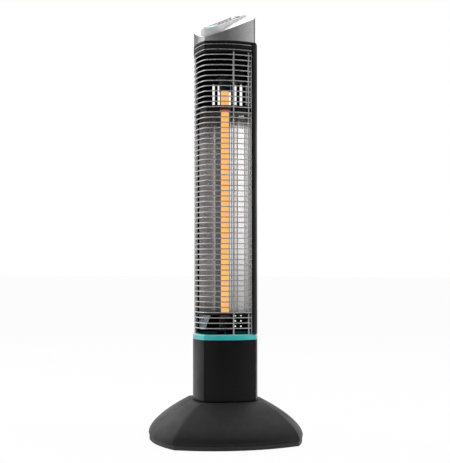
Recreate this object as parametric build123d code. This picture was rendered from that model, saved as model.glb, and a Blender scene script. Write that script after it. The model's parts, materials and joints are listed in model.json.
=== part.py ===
from build123d import *
import os
from math import acos, asin, cos, degrees, pi, radians, sin, sqrt, tan

# Infrared tower heater. Millimetres and degrees, +Z up, origin on the floor below the tower's axis.
# The plan is a square with bulged faces, standing corner forward: the front corner points to -Y,
# the wire guard closes the two front faces and the rear housing the two rear ones.

# ---- plan ----
TOWER_APOTHEM = 59.5          # axis to the middle of a bulged face
FACE_RADIUS = 112.4           # plan radius of a face
CORNER_ROUND = 3.0            # plan radius of a corner ridge
MIN_CORNER = 0.8
FRONT_FACES = (225, 315)      # directions of the faces that carry the guard
REAR_FACES = (45, 135)
FIT = 0.2                     # play of a piece inside another
SEAM = 0.4                    # gap of a seam that shows

# ---- base ----
FOOT_HEIGHT = 2.0
FOOT_RADIUS = 12.0
FOOT_REACH = 126.0            # axis to a foot
STEM_RADIUS = 3.5
TRAY_APOTHEM = 140.5
TRAY_HEIGHT = 7.5
TRAY_FLOOR = 2.5
RIDGE_ROUND = 20.0            # front and rear ridges of the dome
BASE_APOTHEM = 142.0
BASE_FACE_OFFSET = 100.0      # axis back to the centre of a face's arc
SKIRT_SETBACK = 1.0           # the shell's lower edge against its widest line
BASE_WALL = 2.6
SKIRT_RISE = 4.1
DOME_RISE = 61.0
DOME_POWER = 1.6              # shape of the dome: 1 is a cone, more is rounder
DOME_SECTIONS = (0.0, 0.1, 0.25, 0.45, 0.65, 0.85, 1.0)
SUMMIT_MARGIN = 0.5           # the dome's flat top, beyond the corners of the turning column
BALLAST_GAP = 5.0
BALLAST_THICKNESS = 6.0

# ---- turntable ----
PEDESTAL_RADIUS = 42.0
PEDESTAL_WALL = 3.0
PEDESTAL_FLANGE = 16.0
PEDESTAL_FLANGE_THICKNESS = 3.0
PEDESTAL_LID = 4.0
SWIVEL_GAP = 1.6              # dome top to the foot of the column
RUNNING_GAP = 0.3
SPINDLE_PLAY = 0.08
BEARING_WIDTH = 11.0
SWIVEL_PLATE_THICKNESS = 4.0
SPINDLE_RADIUS = 12.0
SPINDLE_BORE = 8.0
SPINDLE_FLANGE = 8.0
SPINDLE_FLANGE_THICKNESS = 3.0
COLLAR_WIDTH = 5.0
GEAR_MODULE = 1.25
GEAR_TEETH = 60
PINION_TEETH = 15
PRESSURE_ANGLE = 20.0
BACKLASH = 0.35               # taken off each tooth's thickness
ADDENDUM = 0.8                # shares of the module
DEDENDUM = 1.25
GEAR_THICKNESS = 6.0
SWIVEL_LIMIT = 35.0           # each way
SECTOR_ANGLE = 2 * SWIVEL_LIMIT + 40.0
GEAR_LIFT = 21.4              # swivel plate to the underside of the gear
MOTOR_RADIUS = 13.0
MOTOR_HEIGHT = 18.0
MOTOR_SHAFT = 3.0
MOTOR_EAR = 4.5
MOTOR_FOOT = 2.0
NUT_HEIGHT = 5.0
NUT_WIDTH = 4.0

# ---- column and trim ring ----
COLUMN_WALL = 2.5
COLUMN_HEIGHT = 111.4
RING_HEIGHT = 10.0
RING_WIDTH = 10.0
RING_BEVEL = 2.2
DECK_THICKNESS = 3.0
CABLE_HOLE = 9.0
BOARD_DISTANCE = 30.0         # power board in front of the axis
BOARD_WIDTH = 56.0
BOARD_HEIGHT = 84.0
BOARD_THICKNESS = 1.6
RELAY_SIZE = (18.0, 13.0, 16.0)
TRANSFORMER_SIZE = (30.0, 14.0, 24.0)

# ---- heater section ----
HEADROOM = 71.0                # upper end of the lamp to the cap
HOUSING_WALL = 2.5
WINDOW_HALF_WIDTH = 66.3      # front opening of the rear housing
RING_WIRE = 2.0
POST_WIRE = 3.0
WELD = 0.4                    # how far a ring and a post sink into each other
GUARD_INSET = 2.5
GUARD_CORNER = 12.0
RING_PITCH = 9.7
TOP_RING_DROP = 6.0
BOTTOM_RING_LIFT = 11.0
POST_ANGLES = (3.0, 19.0, 22.5)   # from the middle of a face towards its side corner
SHELF_LIFT = 35.0
SHELF_THICKNESS = 3.0
BAFFLE_DROP = 48.0            # upper end of the lamp down to the top of the baffle
BAFFLE_THICKNESS = 1.5
LIP_HEIGHT = 13.0
LIP_WALL = 1.5
NOTCH_ANGLES = (236, 304)
NOTCH_WIDTH = 20.0
NOTCH_HEIGHT = 10.0
LAMP_RADIUS = 7.75
LAMP_WALL = 1.0
LAMP_LIFT = 16.0              # trim ring to the lower end of the tube
LAMP_LENGTH = 454.0
ELEMENT_RADIUS = 3.4
SOCKET_DEPTH = 14.0
SOCKET_BASE = 11.0
SOCKET_RADIUS = 11.0
LAMP_HOLE_PLAY = 1.8
BRACKET_WIDTH = 24.0
BRACKET_THICKNESS = 2.0
REFLECTOR_SHEET = 1.0
REFLECTOR_EDGE = (58.2, -2.0)
REFLECTOR_BEND = (42.0, 29.0)
REFLECTOR_TROUGH = (17.0, 46.0)
REFLECTOR_RIDGE = (0.0, 43.0)
SHIELD_TOP = 28.0
SHIELD_BOTTOM = 14.0
SHIELD_HEIGHT = 30.0
SHIELD_SHEET = 1.2
CUTOUT_RADIUS = 9.0
CUTOUT_HEIGHT = 8.0
SLOT_WIDTH = 5.0
SLOT_HEIGHT = 43.0
SLOT_PITCH = 10.6
SLOT_COUNT = 6
SLOT_SHIFT = 15.0             # middle of the row, from the middle of the face to the rear corner
SLOT_DROP = 104.0             # cap down to the foot of the slots
DOT_RADIUS = 1.6
DOT_PITCH = 10.4
DOT_COLUMNS = 2
DOT_SHIFT = 36.0
DOT_ROWS = 3
DOT_LIFT = 9.0
TAB_WIDTH = 16.0
TAB_HEIGHT = 12.0
TAB_THICKNESS = 2.0

# ---- cap and control panel ----
COLLAR_HEIGHT = 20.0
COLLAR_INSET = 0.8
COLLAR_DEPTH = 8.0
COLLAR_GROOVE = 1.7           # half height of the groove round a guard ring
COLLAR_PLATE = 2.0
CAP_FRONT_HEIGHT = 7.0
CAP_SLOPE = 27.0
CAP_CROWN = 3.5               # rise of the cap's top over a flat slope
CAP_INSET = 2.5
CAP_SHIFT = 2.0               # the cap sits this far towards the front
CAP_WALL = 2.2
PANEL_SLOPE = 22.8
PANEL_LIFT = 5.0              # panel over the cap at the axis
PANEL_HALF_WIDTH = 20.0
PANEL_FRONT = 68.0            # axis to the panel's lower end, along its slope
PANEL_REAR = 62.0
BEZEL_WIDTH = 3.2
BEZEL_HEIGHT = 0.8
BEZEL_DRAFT = 20.0            # degrees that the pod's wall leans out
BEZEL_SKIRT = 1.5             # reach of the skirt below the cap's wall
PANEL_DEPTH = 0.8             # panel's floor below its plane
PANEL_THICKNESS = 2.0
DISPLAY_LENGTH = 20.0
DISPLAY_WIDTH = 20.0
DISPLAY_CORNER = 3.0
DISPLAY_PLACE = -50.0         # along the slope from the middle
DISPLAY_PROUD = 1.8
SMALL_KEY_RADIUS = 4.0
SMALL_KEY_PLACES = {"mode_button": -20.0, "timer_button": -7.0, "lower_button": 6.0, "higher_button": 19.0}
POWER_KEY_RADIUS = 12.0
POWER_KEY_PLACE = 45.0
KEY_PLAY = 0.3
KEY_PROUD = 2.4
KEY_TRAVEL = 1.0
KEY_FLANGE = 1.2
KEY_FLANGE_THICKNESS = 1.2
KEY_STEM = 1.8
BOARD_DROP = 9.0              # panel plate down to the control board
SWITCH_SIZE = 6.0
STANDOFF_RADIUS = 2.6
STANDOFF_PLACES = ((-11.0, -36.0), (11.0, -36.0), (-11.0, 24.0), (11.0, 24.0))

# ---- switch and gland in the base ----
TIP_PLACE = (52.0, 52.0)
TIP_RADIUS = 5.0
TIP_TRAVEL = 4.0
TIP_HEIGHT = 24.0
TIP_BODY = 22.0
GLAND_FACE = 135
GLAND_LIFT = 12.0             # above the shell's lower edge
GLAND_NECK = 7.0
GLAND_FLANGE = 10.0
GLAND_BORE = 4.2
GLAND_LENGTH = 14.0
GLAND_FLANGE_THICKNESS = 2.5

# ---- screws ----
SCREW_RADIUS = 1.6
SCREW_HEAD = 3.2
SCREW_HEAD_HEIGHT = 1.6
BASE_SCREW_RADIUS = 2.4
BASE_SCREW_HEAD = 4.6
BASE_SCREW_REACH = 84.0

# ---- levels worked out from the sizes above ----
TRAY_Z = FOOT_HEIGHT
SHELL_Z = TRAY_Z + TRAY_HEIGHT + SEAM
WIDEST_Z = SHELL_Z + SKIRT_RISE
DOME_Z = WIDEST_Z + DOME_RISE
BALLAST_Z = TRAY_Z + TRAY_FLOOR
PEDESTAL_Z = BALLAST_Z + BALLAST_THICKNESS
COLUMN_Z = DOME_Z + SWIVEL_GAP
PLATE_TOP_Z = COLUMN_Z + SWIVEL_PLATE_THICKNESS
GEAR_Z = PLATE_TOP_Z + GEAR_LIFT
GEAR_TOP_Z = GEAR_Z + GEAR_THICKNESS
RING_Z = COLUMN_Z + COLUMN_HEIGHT
TOWER_Z = RING_Z + RING_HEIGHT
SHELF_Z = TOWER_Z + SHELF_LIFT
SHELF_TOP_Z = SHELF_Z + SHELF_THICKNESS
LAMP_Z = TOWER_Z + LAMP_LIFT
LAMP_TOP_Z = LAMP_Z + LAMP_LENGTH
CAP_Z = LAMP_TOP_Z + HEADROOM
HEATER_HEIGHT = CAP_Z - TOWER_Z
BAFFLE_TOP_Z = LAMP_TOP_Z - BAFFLE_DROP
BAFFLE_Z = BAFFLE_TOP_Z - BAFFLE_THICKNESS
COLLAR_Z = CAP_Z - COLLAR_HEIGHT
TOP_RING_Z = CAP_Z - TOP_RING_DROP
BOTTOM_RING_Z = TOWER_Z + BOTTOM_RING_LIFT
RING_COUNT = 1 + round((TOP_RING_Z - BOTTOM_RING_Z) / RING_PITCH)
GUARD_BACK = GUARD_INSET + RING_WIRE / 2 + POST_WIRE - WELD + SEAM
POST_INSET = GUARD_INSET + RING_WIRE / 2 + POST_WIRE / 2 - WELD
FACE_OFFSET = FACE_RADIUS - TOWER_APOTHEM
HOUSING_INSIDE = HOUSING_WALL + FIT / 2


def corner_reach(inset=0.0):
    """Distance from the axis to a sharp corner of the tower's plan."""
    half = FACE_OFFSET * cos(radians(45))
    return sqrt((FACE_RADIUS - inset) ** 2 - half**2) - half


CHORD_Z = CAP_Z + CAP_FRONT_HEIGHT + corner_reach(CAP_INSET) * tan(radians(CAP_SLOPE))
CHORD_HALF = corner_reach(CAP_INSET) / cos(radians(CAP_SLOPE))
CROWN_RADIUS = (CHORD_HALF**2 + CAP_CROWN**2) / (2 * CAP_CROWN)


def sloping_plane(slope, y, z):
    """A plane that rises from front to rear."""
    normal = (0, -sin(radians(slope)), cos(radians(slope)))
    return Plane(origin=(0, y, z), x_dir=(1, 0, 0), z_dir=normal)


CAP_CHORD = sloping_plane(CAP_SLOPE, -CAP_SHIFT, CHORD_Z)
PANEL = sloping_plane(PANEL_SLOPE, 0, CHORD_Z + CAP_CROWN / cos(radians(CAP_SLOPE)) + PANEL_LIFT)
PANEL_UP = Axis(PANEL.origin, PANEL.z_dir)
GEAR_RADIUS = GEAR_MODULE * GEAR_TEETH / 2
PINION_RADIUS = GEAR_MODULE * PINION_TEETH / 2
PINION_Y = GEAR_RADIUS + PINION_RADIUS
# the flat top of the dome reaches past the circle that the column's corners turn in
SUMMIT_APOTHEM = corner_reach() + SUMMIT_MARGIN


# ---- plan shapes ----
def polar(radius, angle, centre=(0.0, 0.0)):
    return (centre[0] + radius * cos(radians(angle)), centre[1] + radius * sin(radians(angle)))


def corner_geometry(face, offset, corner):
    """Distance from the axis to a corner's centre, and half the angle that a face spans."""
    side = offset * sin(radians(45))
    reach = sqrt((face - corner) ** 2 - side**2) - offset * cos(radians(45))
    half_arc = degrees(asin((reach * sin(radians(45))) / (face - corner)))
    return reach, half_arc


def bulged_square(apothem, offset, corner):
    """A square with four arcs for sides and rounded corners on the X and Y axes."""
    face = apothem + offset
    reach, half_arc = corner_geometry(face, offset, corner)
    edges = []
    for direction in (45, 135, 225, 315):
        centre = polar(offset, direction + 180)
        start, middle, end = (polar(face, direction + turn, centre) for turn in (-half_arc, 0, half_arc))
        edges.append(ThreePointArc(start, middle, end))
        knuckle = polar(reach, direction + 45)
        after = polar(face, direction + 90 - half_arc, polar(offset, direction + 270))
        edges.append(ThreePointArc(end, polar(corner, direction + 45, knuckle), after))
    return make_face(edges)


def plan_face(inset=0.0, corner=CORNER_ROUND):
    """The tower's plan, inset from its skin."""
    return bulged_square(TOWER_APOTHEM - inset, FACE_OFFSET, max(corner - inset, MIN_CORNER))


def base_plan(apothem):
    return bulged_square(apothem, BASE_FACE_OFFSET, MIN_CORNER)


def slab(sketch, z, height):
    return Pos(0, 0, z) * extrude(sketch, height)


def half(front):
    """A sketch that covers everything in front of, or behind, the side corners."""
    depth = 4 * BASE_APOTHEM
    return Pos(0, -depth / 2 if front else depth / 2) * Rectangle(2 * depth, depth)


def chamber_plan(front_inset, rear_inset):
    """A plan that follows the guard in front and the rear housing behind."""
    return (plan_face(front_inset) & half(True)) + (plan_face(rear_inset) & half(False))


def face_plane(direction, inset, z):
    """A plane on the middle of a face of the tower, its normal pointing out."""
    x, y = polar(TOWER_APOTHEM - inset, direction)
    out = polar(1, direction)
    return Plane(origin=(x, y, z), x_dir=(-out[1], out[0], 0), z_dir=(out[0], out[1], 0))


def disc(radius, z, height, place=(0.0, 0.0)):
    return Pos(place[0], place[1], z) * Cylinder(radius, height, align=(Align.CENTER, Align.CENTER, Align.MIN))


def block(width, depth, height, place):
    """A box standing on the point given."""
    return Pos(*place) * Box(width, depth, height, align=(Align.CENTER, Align.CENTER, Align.MIN))


def tube(outer, inner, z, height, place=(0.0, 0.0)):
    return disc(outer, z, height, place) - disc(inner, z - 1, height + 2, place)


def screw(plane, grip, head=SCREW_HEAD, shank=SCREW_RADIUS):
    """A pan head on the plane with its shank going in."""
    top = extrude(plane * Circle(head), SCREW_HEAD_HEIGHT)
    return top + extrude(plane * Circle(shank), -grip)


def group(solids):
    return Compound(children=list(solids))


# ---- base ----
def feet_places():
    return [polar(FOOT_REACH, angle) for angle in (0, 90, 180, 270)]


def base_screw_places():
    return [polar(BASE_SCREW_REACH, angle) for angle in (0, 90, 180, 270)]


def base_tray():
    outer = slab(base_plan(TRAY_APOTHEM), TRAY_Z, TRAY_HEIGHT)
    well = base_plan(TRAY_APOTHEM - BASE_WALL)
    tray = outer - slab(well, BALLAST_Z, TRAY_HEIGHT)
    for place in feet_places():
        tray -= disc(STEM_RADIUS + FIT, 0, BALLAST_Z + 1, place)
    for place in base_screw_places():
        tray -= disc(BASE_SCREW_RADIUS + FIT, 0, BALLAST_Z + 1, place)
    return tray - disc(TIP_RADIUS + RUNNING_GAP, 0, BALLAST_Z + 1, TIP_PLACE)


def rubber_feet():
    feet = []
    for place in feet_places():
        foot = disc(FOOT_RADIUS, 0, FOOT_HEIGHT, place)
        feet.append(foot + disc(STEM_RADIUS, 0, BALLAST_Z, place))
    return group(feet)


def ballast_plate():
    sketch = base_plan(TRAY_APOTHEM - BASE_WALL - BALLAST_GAP)
    plate = slab(sketch, BALLAST_Z, BALLAST_THICKNESS)
    for place in base_screw_places():
        plate -= disc(BASE_SCREW_RADIUS, 0, DOME_Z, place)
    plate -= block(TIP_BODY + 2, TIP_BODY + 2, DOME_Z, (*TIP_PLACE, 0))
    return plate


def base_screws():
    screws = []
    for x, y in base_screw_places():
        under = Plane(origin=(x, y, TRAY_Z), z_dir=(0, 0, -1))
        screws.append(
            extrude(under * Circle(BASE_SCREW_HEAD), SCREW_HEAD_HEIGHT)
            + extrude(under * Circle(BASE_SCREW_RADIUS), -(TRAY_FLOOR + BALLAST_THICKNESS))
        )
    return group(screws)


def dome_apothem(share):
    """The dome's plan, from its widest line at 0 to its flat top at 1."""
    return SUMMIT_APOTHEM + (BASE_APOTHEM - SUMMIT_APOTHEM) * (1 - share**DOME_POWER)


def dome_curve(wall):
    """The dome's profile at the middle of a face, set in by the wall square to it."""
    fall = (BASE_APOTHEM - SUMMIT_APOTHEM) * DOME_POWER / DOME_RISE
    points = []
    for share in DOME_SECTIONS:
        slope = fall * share ** (DOME_POWER - 1)
        length = sqrt(1 + slope**2)
        x = dome_apothem(share) - wall / length
        points.append((x, WIDEST_Z + share * DOME_RISE - wall * slope / length))
    return points


def dome_solid(wall):
    """Four faces, each turned about its own upright axis, with soft ridges in front and behind."""
    curve = [(BASE_FACE_OFFSET + x, z) for x, z in dome_curve(wall)]
    foot = (curve[0][0] - SKIRT_SETBACK, SHELL_Z)
    side = Line(foot, curve[0]) + Spline(*curve)
    rim = Polyline(curve[-1], (0, curve[-1][1]), (0, SHELL_Z), foot)
    profile = Plane.XZ * make_face([*side.edges(), *rim.edges()])
    turned = revolve(profile, Axis.Z)
    body = None
    for direction in (45, 135, 225, 315):
        x, y = polar(BASE_FACE_OFFSET, direction + 180)
        face = Pos(x, y, 0) * turned
        body = face if body is None else body & face
    ridges = [edge for edge in body.edges() if abs(edge.center().X) < 1]
    return fillet(ridges, RIDGE_ROUND - wall)


def gland_plane(depth):
    """The gland's seat on the shell, pointing out."""
    out = polar(1, GLAND_FACE)
    share = (GLAND_LIFT - SKIRT_RISE) / DOME_RISE
    x, y = polar(dome_apothem(share) - depth, GLAND_FACE)
    return Plane(origin=(x, y, SHELL_Z + GLAND_LIFT), x_dir=(-out[1], out[0], 0), z_dir=(out[0], out[1], 0))


def base_shell(front):
    shift = -SEAM / 2 if front else SEAM / 2
    shell = dome_solid(0.0) - dome_solid(BASE_WALL)
    shell -= disc(PEDESTAL_RADIUS + FIT, 0, DOME_Z + 1)
    return shell & slab(Pos(0, shift) * half(front), 0, DOME_Z + 1)


def base_rear_shell():
    """The rear half, with the gland's hole and seat."""
    seat = gland_plane(GLAND_FLANGE_THICKNESS / 2)
    shell = base_shell(False) - extrude(seat * Circle(GLAND_FLANGE + FIT), GLAND_FLANGE * 2)
    return shell - extrude(seat * Circle(GLAND_NECK + FIT), -GLAND_LENGTH * 2)


def cord_gland():
    seat = gland_plane(GLAND_FLANGE_THICKNESS / 2)
    gland = extrude(seat * Circle(GLAND_FLANGE), GLAND_FLANGE_THICKNESS)
    gland += extrude(seat * Circle(GLAND_NECK), -GLAND_LENGTH)
    bore = extrude(seat * Circle(GLAND_BORE), GLAND_LENGTH)
    return gland - bore - extrude(seat * Circle(GLAND_BORE), -GLAND_LENGTH)


def pedestal():
    flange = disc(PEDESTAL_RADIUS + PEDESTAL_FLANGE, PEDESTAL_Z, PEDESTAL_FLANGE_THICKNESS)
    body = flange + disc(PEDESTAL_RADIUS, PEDESTAL_Z, DOME_Z - PEDESTAL_Z)
    hollow = PEDESTAL_RADIUS - PEDESTAL_WALL
    body -= disc(hollow, PEDESTAL_Z - 1, DOME_Z - PEDESTAL_LID - PEDESTAL_Z + 1)
    body -= disc(SPINDLE_RADIUS + FIT / 2, 0, DOME_Z + 1)
    for place in pedestal_screw_places():
        body -= disc(SCREW_RADIUS, 0, DOME_Z, place)
    return body


def pedestal_screw_places():
    reach = PEDESTAL_RADIUS + PEDESTAL_FLANGE / 2
    return [polar(reach, angle) for angle in (45, 135, 225, 315)]


def pedestal_screws():
    top = PEDESTAL_Z + PEDESTAL_FLANGE_THICKNESS
    seats = [Plane(origin=(x, y, top), z_dir=(0, 0, 1)) for x, y in pedestal_screw_places()]
    return group(screw(seat, PEDESTAL_FLANGE_THICKNESS) for seat in seats)


def tip_switch_body():
    body = block(TIP_BODY, TIP_BODY, TIP_HEIGHT + 2 * TIP_TRAVEL, (*TIP_PLACE, BALLAST_Z))
    bore = disc(TIP_RADIUS + RUNNING_GAP, 0, BALLAST_Z + TIP_HEIGHT + TIP_TRAVEL, TIP_PLACE)
    return body - bore


def tip_switch_plunger():
    shank = disc(TIP_RADIUS, 0, BALLAST_Z + TIP_HEIGHT, TIP_PLACE)
    return shank


# ---- turntable ----
def bearing_ring():
    return tube(PEDESTAL_RADIUS - 2, PEDESTAL_RADIUS - 2 - BEARING_WIDTH, DOME_Z, SWIVEL_GAP - RUNNING_GAP)


def pivot_spindle():
    foot = DOME_Z - PEDESTAL_LID - SPINDLE_FLANGE_THICKNESS
    spindle = disc(SPINDLE_RADIUS + SPINDLE_FLANGE, foot, SPINDLE_FLANGE_THICKNESS)
    spindle += disc(SPINDLE_RADIUS, foot, GEAR_TOP_Z + NUT_HEIGHT - foot)
    return spindle - disc(SPINDLE_BORE, foot - 1, GEAR_TOP_Z)


def retaining_collar():
    z = PLATE_TOP_Z + RUNNING_GAP
    return tube(SPINDLE_RADIUS + COLLAR_WIDTH, SPINDLE_RADIUS, z, GEAR_Z - z)


def spindle_nut():
    across = 2 * (SPINDLE_RADIUS + NUT_WIDTH) / sqrt(3)
    nut = slab(RegularPolygon(across, 6), GEAR_TOP_Z, NUT_HEIGHT)
    return nut - disc(SPINDLE_RADIUS, GEAR_TOP_Z - 1, NUT_HEIGHT + 2)


def tooth(teeth, direction):
    """One involute tooth, its root sunk into the blank."""
    pitch = GEAR_MODULE * teeth / 2
    base = pitch * cos(radians(PRESSURE_ANGLE))
    tip = pitch + ADDENDUM * GEAR_MODULE
    root = pitch - DEDENDUM * GEAR_MODULE

    def involute(radius):
        angle = acos(min(1.0, base / radius))
        return tan(angle) - angle

    half_thick = degrees((pi * GEAR_MODULE / 2 - BACKLASH) / 2 / pitch)
    shift = half_thick + degrees(involute(pitch))
    start = max(base, root)
    radii = [start + (tip - start) * step / 4 for step in range(5)]
    flank = [(radius, shift - degrees(involute(radius))) for radius in radii]
    flank.insert(0, (root - GEAR_MODULE, flank[0][1]))
    points = [polar(radius, direction - turn) for radius, turn in flank]
    points += [polar(radius, direction + turn) for radius, turn in reversed(flank)]
    return make_face(Polyline(*points, close=True))


def sector_gear():
    root = GEAR_RADIUS - DEDENDUM * GEAR_MODULE
    step = 360 / GEAR_TEETH
    side = int(SECTOR_ANGLE / 2 / step)
    blank = Circle(root) & sector_plan(root)
    for index in range(-side, side + 1):
        blank += tooth(GEAR_TEETH, 90 + index * step)
    blank += Circle(SPINDLE_RADIUS + COLLAR_WIDTH)
    blank -= Circle(SPINDLE_RADIUS)
    return slab(blank, GEAR_Z, GEAR_THICKNESS)


def sector_plan(radius):
    edge = SECTOR_ANGLE / 2
    far = 2 * radius
    points = [(0, 0), polar(far, 90 - edge), polar(far * 1.6, 90), polar(far, 90 + edge)]
    return make_face(Polyline(*points, close=True))


def swivel_plate():
    plate = slab(plan_face(COLUMN_WALL + FIT), COLUMN_Z, SWIVEL_PLATE_THICKNESS)
    plate -= disc(SPINDLE_RADIUS + SPINDLE_PLAY, 0, RING_Z)
    for direction in REAR_FACES:
        plate += tab(direction, COLUMN_WALL + FIT, PLATE_TOP_Z - 1)
        plate -= tab_hole(direction, PLATE_TOP_Z - 1)
    for x in motor_ear_places():
        plate -= disc(SCREW_RADIUS, 0, RING_Z, (x, PINION_Y))
    return plate


def tab(direction, inset, z):
    """An upright lug at the middle of a rear face, for a housing screw."""
    bow = TAB_WIDTH**2 / 8 / (FACE_RADIUS - inset)
    plane = face_plane(direction, inset + bow, z + TAB_HEIGHT / 2)
    return extrude(plane * Rectangle(TAB_WIDTH, TAB_HEIGHT), -TAB_THICKNESS)


def tab_hole(direction, z):
    plane = face_plane(direction, -TAB_WIDTH, z + TAB_HEIGHT / 2)
    return extrude(plane * Circle(SCREW_RADIUS), -3 * TAB_WIDTH)


def wall_screw(direction, wall, z):
    plane = face_plane(direction, 0, z + TAB_HEIGHT / 2)
    return screw(plane, wall + FIT + TAB_THICKNESS)


def wall_screw_hole(direction, z):
    plane = face_plane(direction, -TAB_WIDTH, z + TAB_HEIGHT / 2)
    return extrude(plane * Circle(SCREW_RADIUS + FIT), -3 * TAB_WIDTH)


def motor_ear_places():
    reach = MOTOR_RADIUS + SCREW_HEAD + FIT
    return (-reach, reach)


def oscillation_motor():
    place = (0, PINION_Y)
    motor = disc(MOTOR_RADIUS, PLATE_TOP_Z, MOTOR_HEIGHT, place)
    ears = 2 * (motor_ear_places()[1] + MOTOR_EAR)
    motor += slab(Pos(*place) * SlotOverall(ears, 2 * MOTOR_EAR), PLATE_TOP_Z, MOTOR_FOOT)
    for x in motor_ear_places():
        motor -= disc(SCREW_RADIUS, PLATE_TOP_Z - 1, MOTOR_FOOT + 2, (x, PINION_Y))
    return motor + disc(MOTOR_SHAFT, PLATE_TOP_Z, GEAR_TOP_Z - PLATE_TOP_Z, place)


def motor_screws():
    top = PLATE_TOP_Z + MOTOR_FOOT
    seats = [Plane(origin=(x, PINION_Y, top), z_dir=(0, 0, 1)) for x in motor_ear_places()]
    return group(screw(seat, MOTOR_FOOT + SWIVEL_PLATE_THICKNESS) for seat in seats)


def drive_pinion():
    """The gap between two of its teeth faces the sector."""
    root = PINION_RADIUS - DEDENDUM * GEAR_MODULE
    blank = Circle(root)
    for index in range(PINION_TEETH):
        blank += tooth(PINION_TEETH, -90 + (index + 0.5) * 360 / PINION_TEETH)
    blank -= Circle(MOTOR_SHAFT + SPINDLE_PLAY)
    return Pos(0, PINION_Y, 0) * slab(blank, GEAR_Z, GEAR_THICKNESS)


# ---- column ----
def column_covers():
    skin = slab(plan_face() - plan_face(COLUMN_WALL), COLUMN_Z, COLUMN_HEIGHT)
    for direction in REAR_FACES:
        skin -= wall_screw_hole(direction, PLATE_TOP_Z - 1)
        skin -= wall_screw_hole(direction, deck_tab_z())
    gap = Pos(0, -SEAM) * Rectangle(4 * TOWER_APOTHEM, SEAM, align=(Align.CENTER, Align.MIN))
    skin -= slab(gap, COLUMN_Z - 1, COLUMN_HEIGHT + 2)
    front = skin & slab(half(True), 0, CAP_Z)
    rear = skin & slab(half(False), 0, CAP_Z)
    return front, rear


def deck_tab_z():
    return RING_Z - DECK_THICKNESS - TAB_HEIGHT + 1


def column_deck():
    deck = slab(plan_face(COLUMN_WALL + FIT), RING_Z - DECK_THICKNESS, DECK_THICKNESS)
    for direction in REAR_FACES:
        deck += tab(direction, COLUMN_WALL + FIT, deck_tab_z())
        deck -= tab_hole(direction, deck_tab_z())
    return deck - disc(CABLE_HOLE, 0, CAP_Z, (0, BOARD_DISTANCE))


def column_screws():
    places = [(direction, z) for direction in REAR_FACES for z in (PLATE_TOP_Z - 1, deck_tab_z())]
    return group(wall_screw(direction, COLUMN_WALL, z) for direction, z in places)


def power_board():
    return block(BOARD_WIDTH, BOARD_THICKNESS, BOARD_HEIGHT, (0, -BOARD_DISTANCE, PLATE_TOP_Z))


def power_parts():
    """Two relays and a transformer on the front of the board."""
    front = -BOARD_DISTANCE - BOARD_THICKNESS / 2
    width, depth, height = TRANSFORMER_SIZE
    parts = [block(width, depth, height, (0, front - depth / 2, PLATE_TOP_Z + height / 2))]
    width, depth, height = RELAY_SIZE
    for side in (-1, 1):
        parts.append(block(width, depth, height, (side * width * 0.7, front - depth / 2, PLATE_TOP_Z + 3.4 * height)))
    return group(parts)


def trim_ring():
    body = slab(plan_face(), RING_Z, RING_HEIGHT - RING_BEVEL)
    top = [Pos(0, 0, TOWER_Z - RING_BEVEL) * plan_face(), Pos(0, 0, TOWER_Z) * plan_face(RING_BEVEL)]
    body += loft(top, ruled=True)
    body -= slab(plan_face(RING_WIDTH), RING_Z - 1, RING_HEIGHT + 2)
    for place in post_places():
        body -= disc(POST_WIRE / 2 + FIT, RING_Z, RING_HEIGHT + 1, place)
    return body


# ---- guard ----
def post_places():
    places = []
    for direction, side in zip(FRONT_FACES, (-1, 1)):
        centre = polar(FACE_OFFSET, direction + 180)
        for angle in POST_ANGLES:
            places.append(polar(FACE_RADIUS - POST_INSET, direction + side * angle, centre))
    return places


def guard_ring():
    """One bent wire: round the left face, the front corner and the right face."""
    face = FACE_RADIUS - GUARD_INSET
    offset = FACE_OFFSET
    reach, half_arc = corner_geometry(face, offset, GUARD_CORNER)
    shift = offset * cos(radians(45))
    end_x = WINDOW_HALF_WIDTH - SEAM - RING_WIRE / 2
    side_arc = 45 - degrees(acos((end_x + shift) / face))
    left, right = (polar(offset, direction + 180) for direction in FRONT_FACES)
    left_arc = [polar(face, FRONT_FACES[0] + turn, left) for turn in (-side_arc, 0, half_arc)]
    right_arc = [polar(face, FRONT_FACES[1] + turn, right) for turn in (-half_arc, 0, side_arc)]
    nose = polar(GUARD_CORNER, 270, polar(reach, 270))
    path = Wire(
        [
            ThreePointArc(*left_arc),
            ThreePointArc(left_arc[2], nose, right_arc[0]),
            ThreePointArc(*right_arc),
        ]
    )
    start = Plane(origin=path @ 0, z_dir=path % 0)
    return sweep(start * Circle(RING_WIRE / 2), path=path)


def wire_guard():
    ring = guard_ring()
    rings = [Pos(0, 0, TOP_RING_Z - index * RING_PITCH) * ring for index in range(RING_COUNT)]
    foot = RING_Z + RING_HEIGHT / 2
    posts = [disc(POST_WIRE / 2, foot, TOP_RING_Z - foot, place) for place in post_places()]
    return posts[0].fuse(*posts[1:], *rings)


# ---- heater section ----
def punches(plane, places, shape):
    """A pattern of holes through one face, cut square to the plane."""
    return [extrude(plane * place * shape, -3 * TAB_WIDTH) for place in places]


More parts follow.
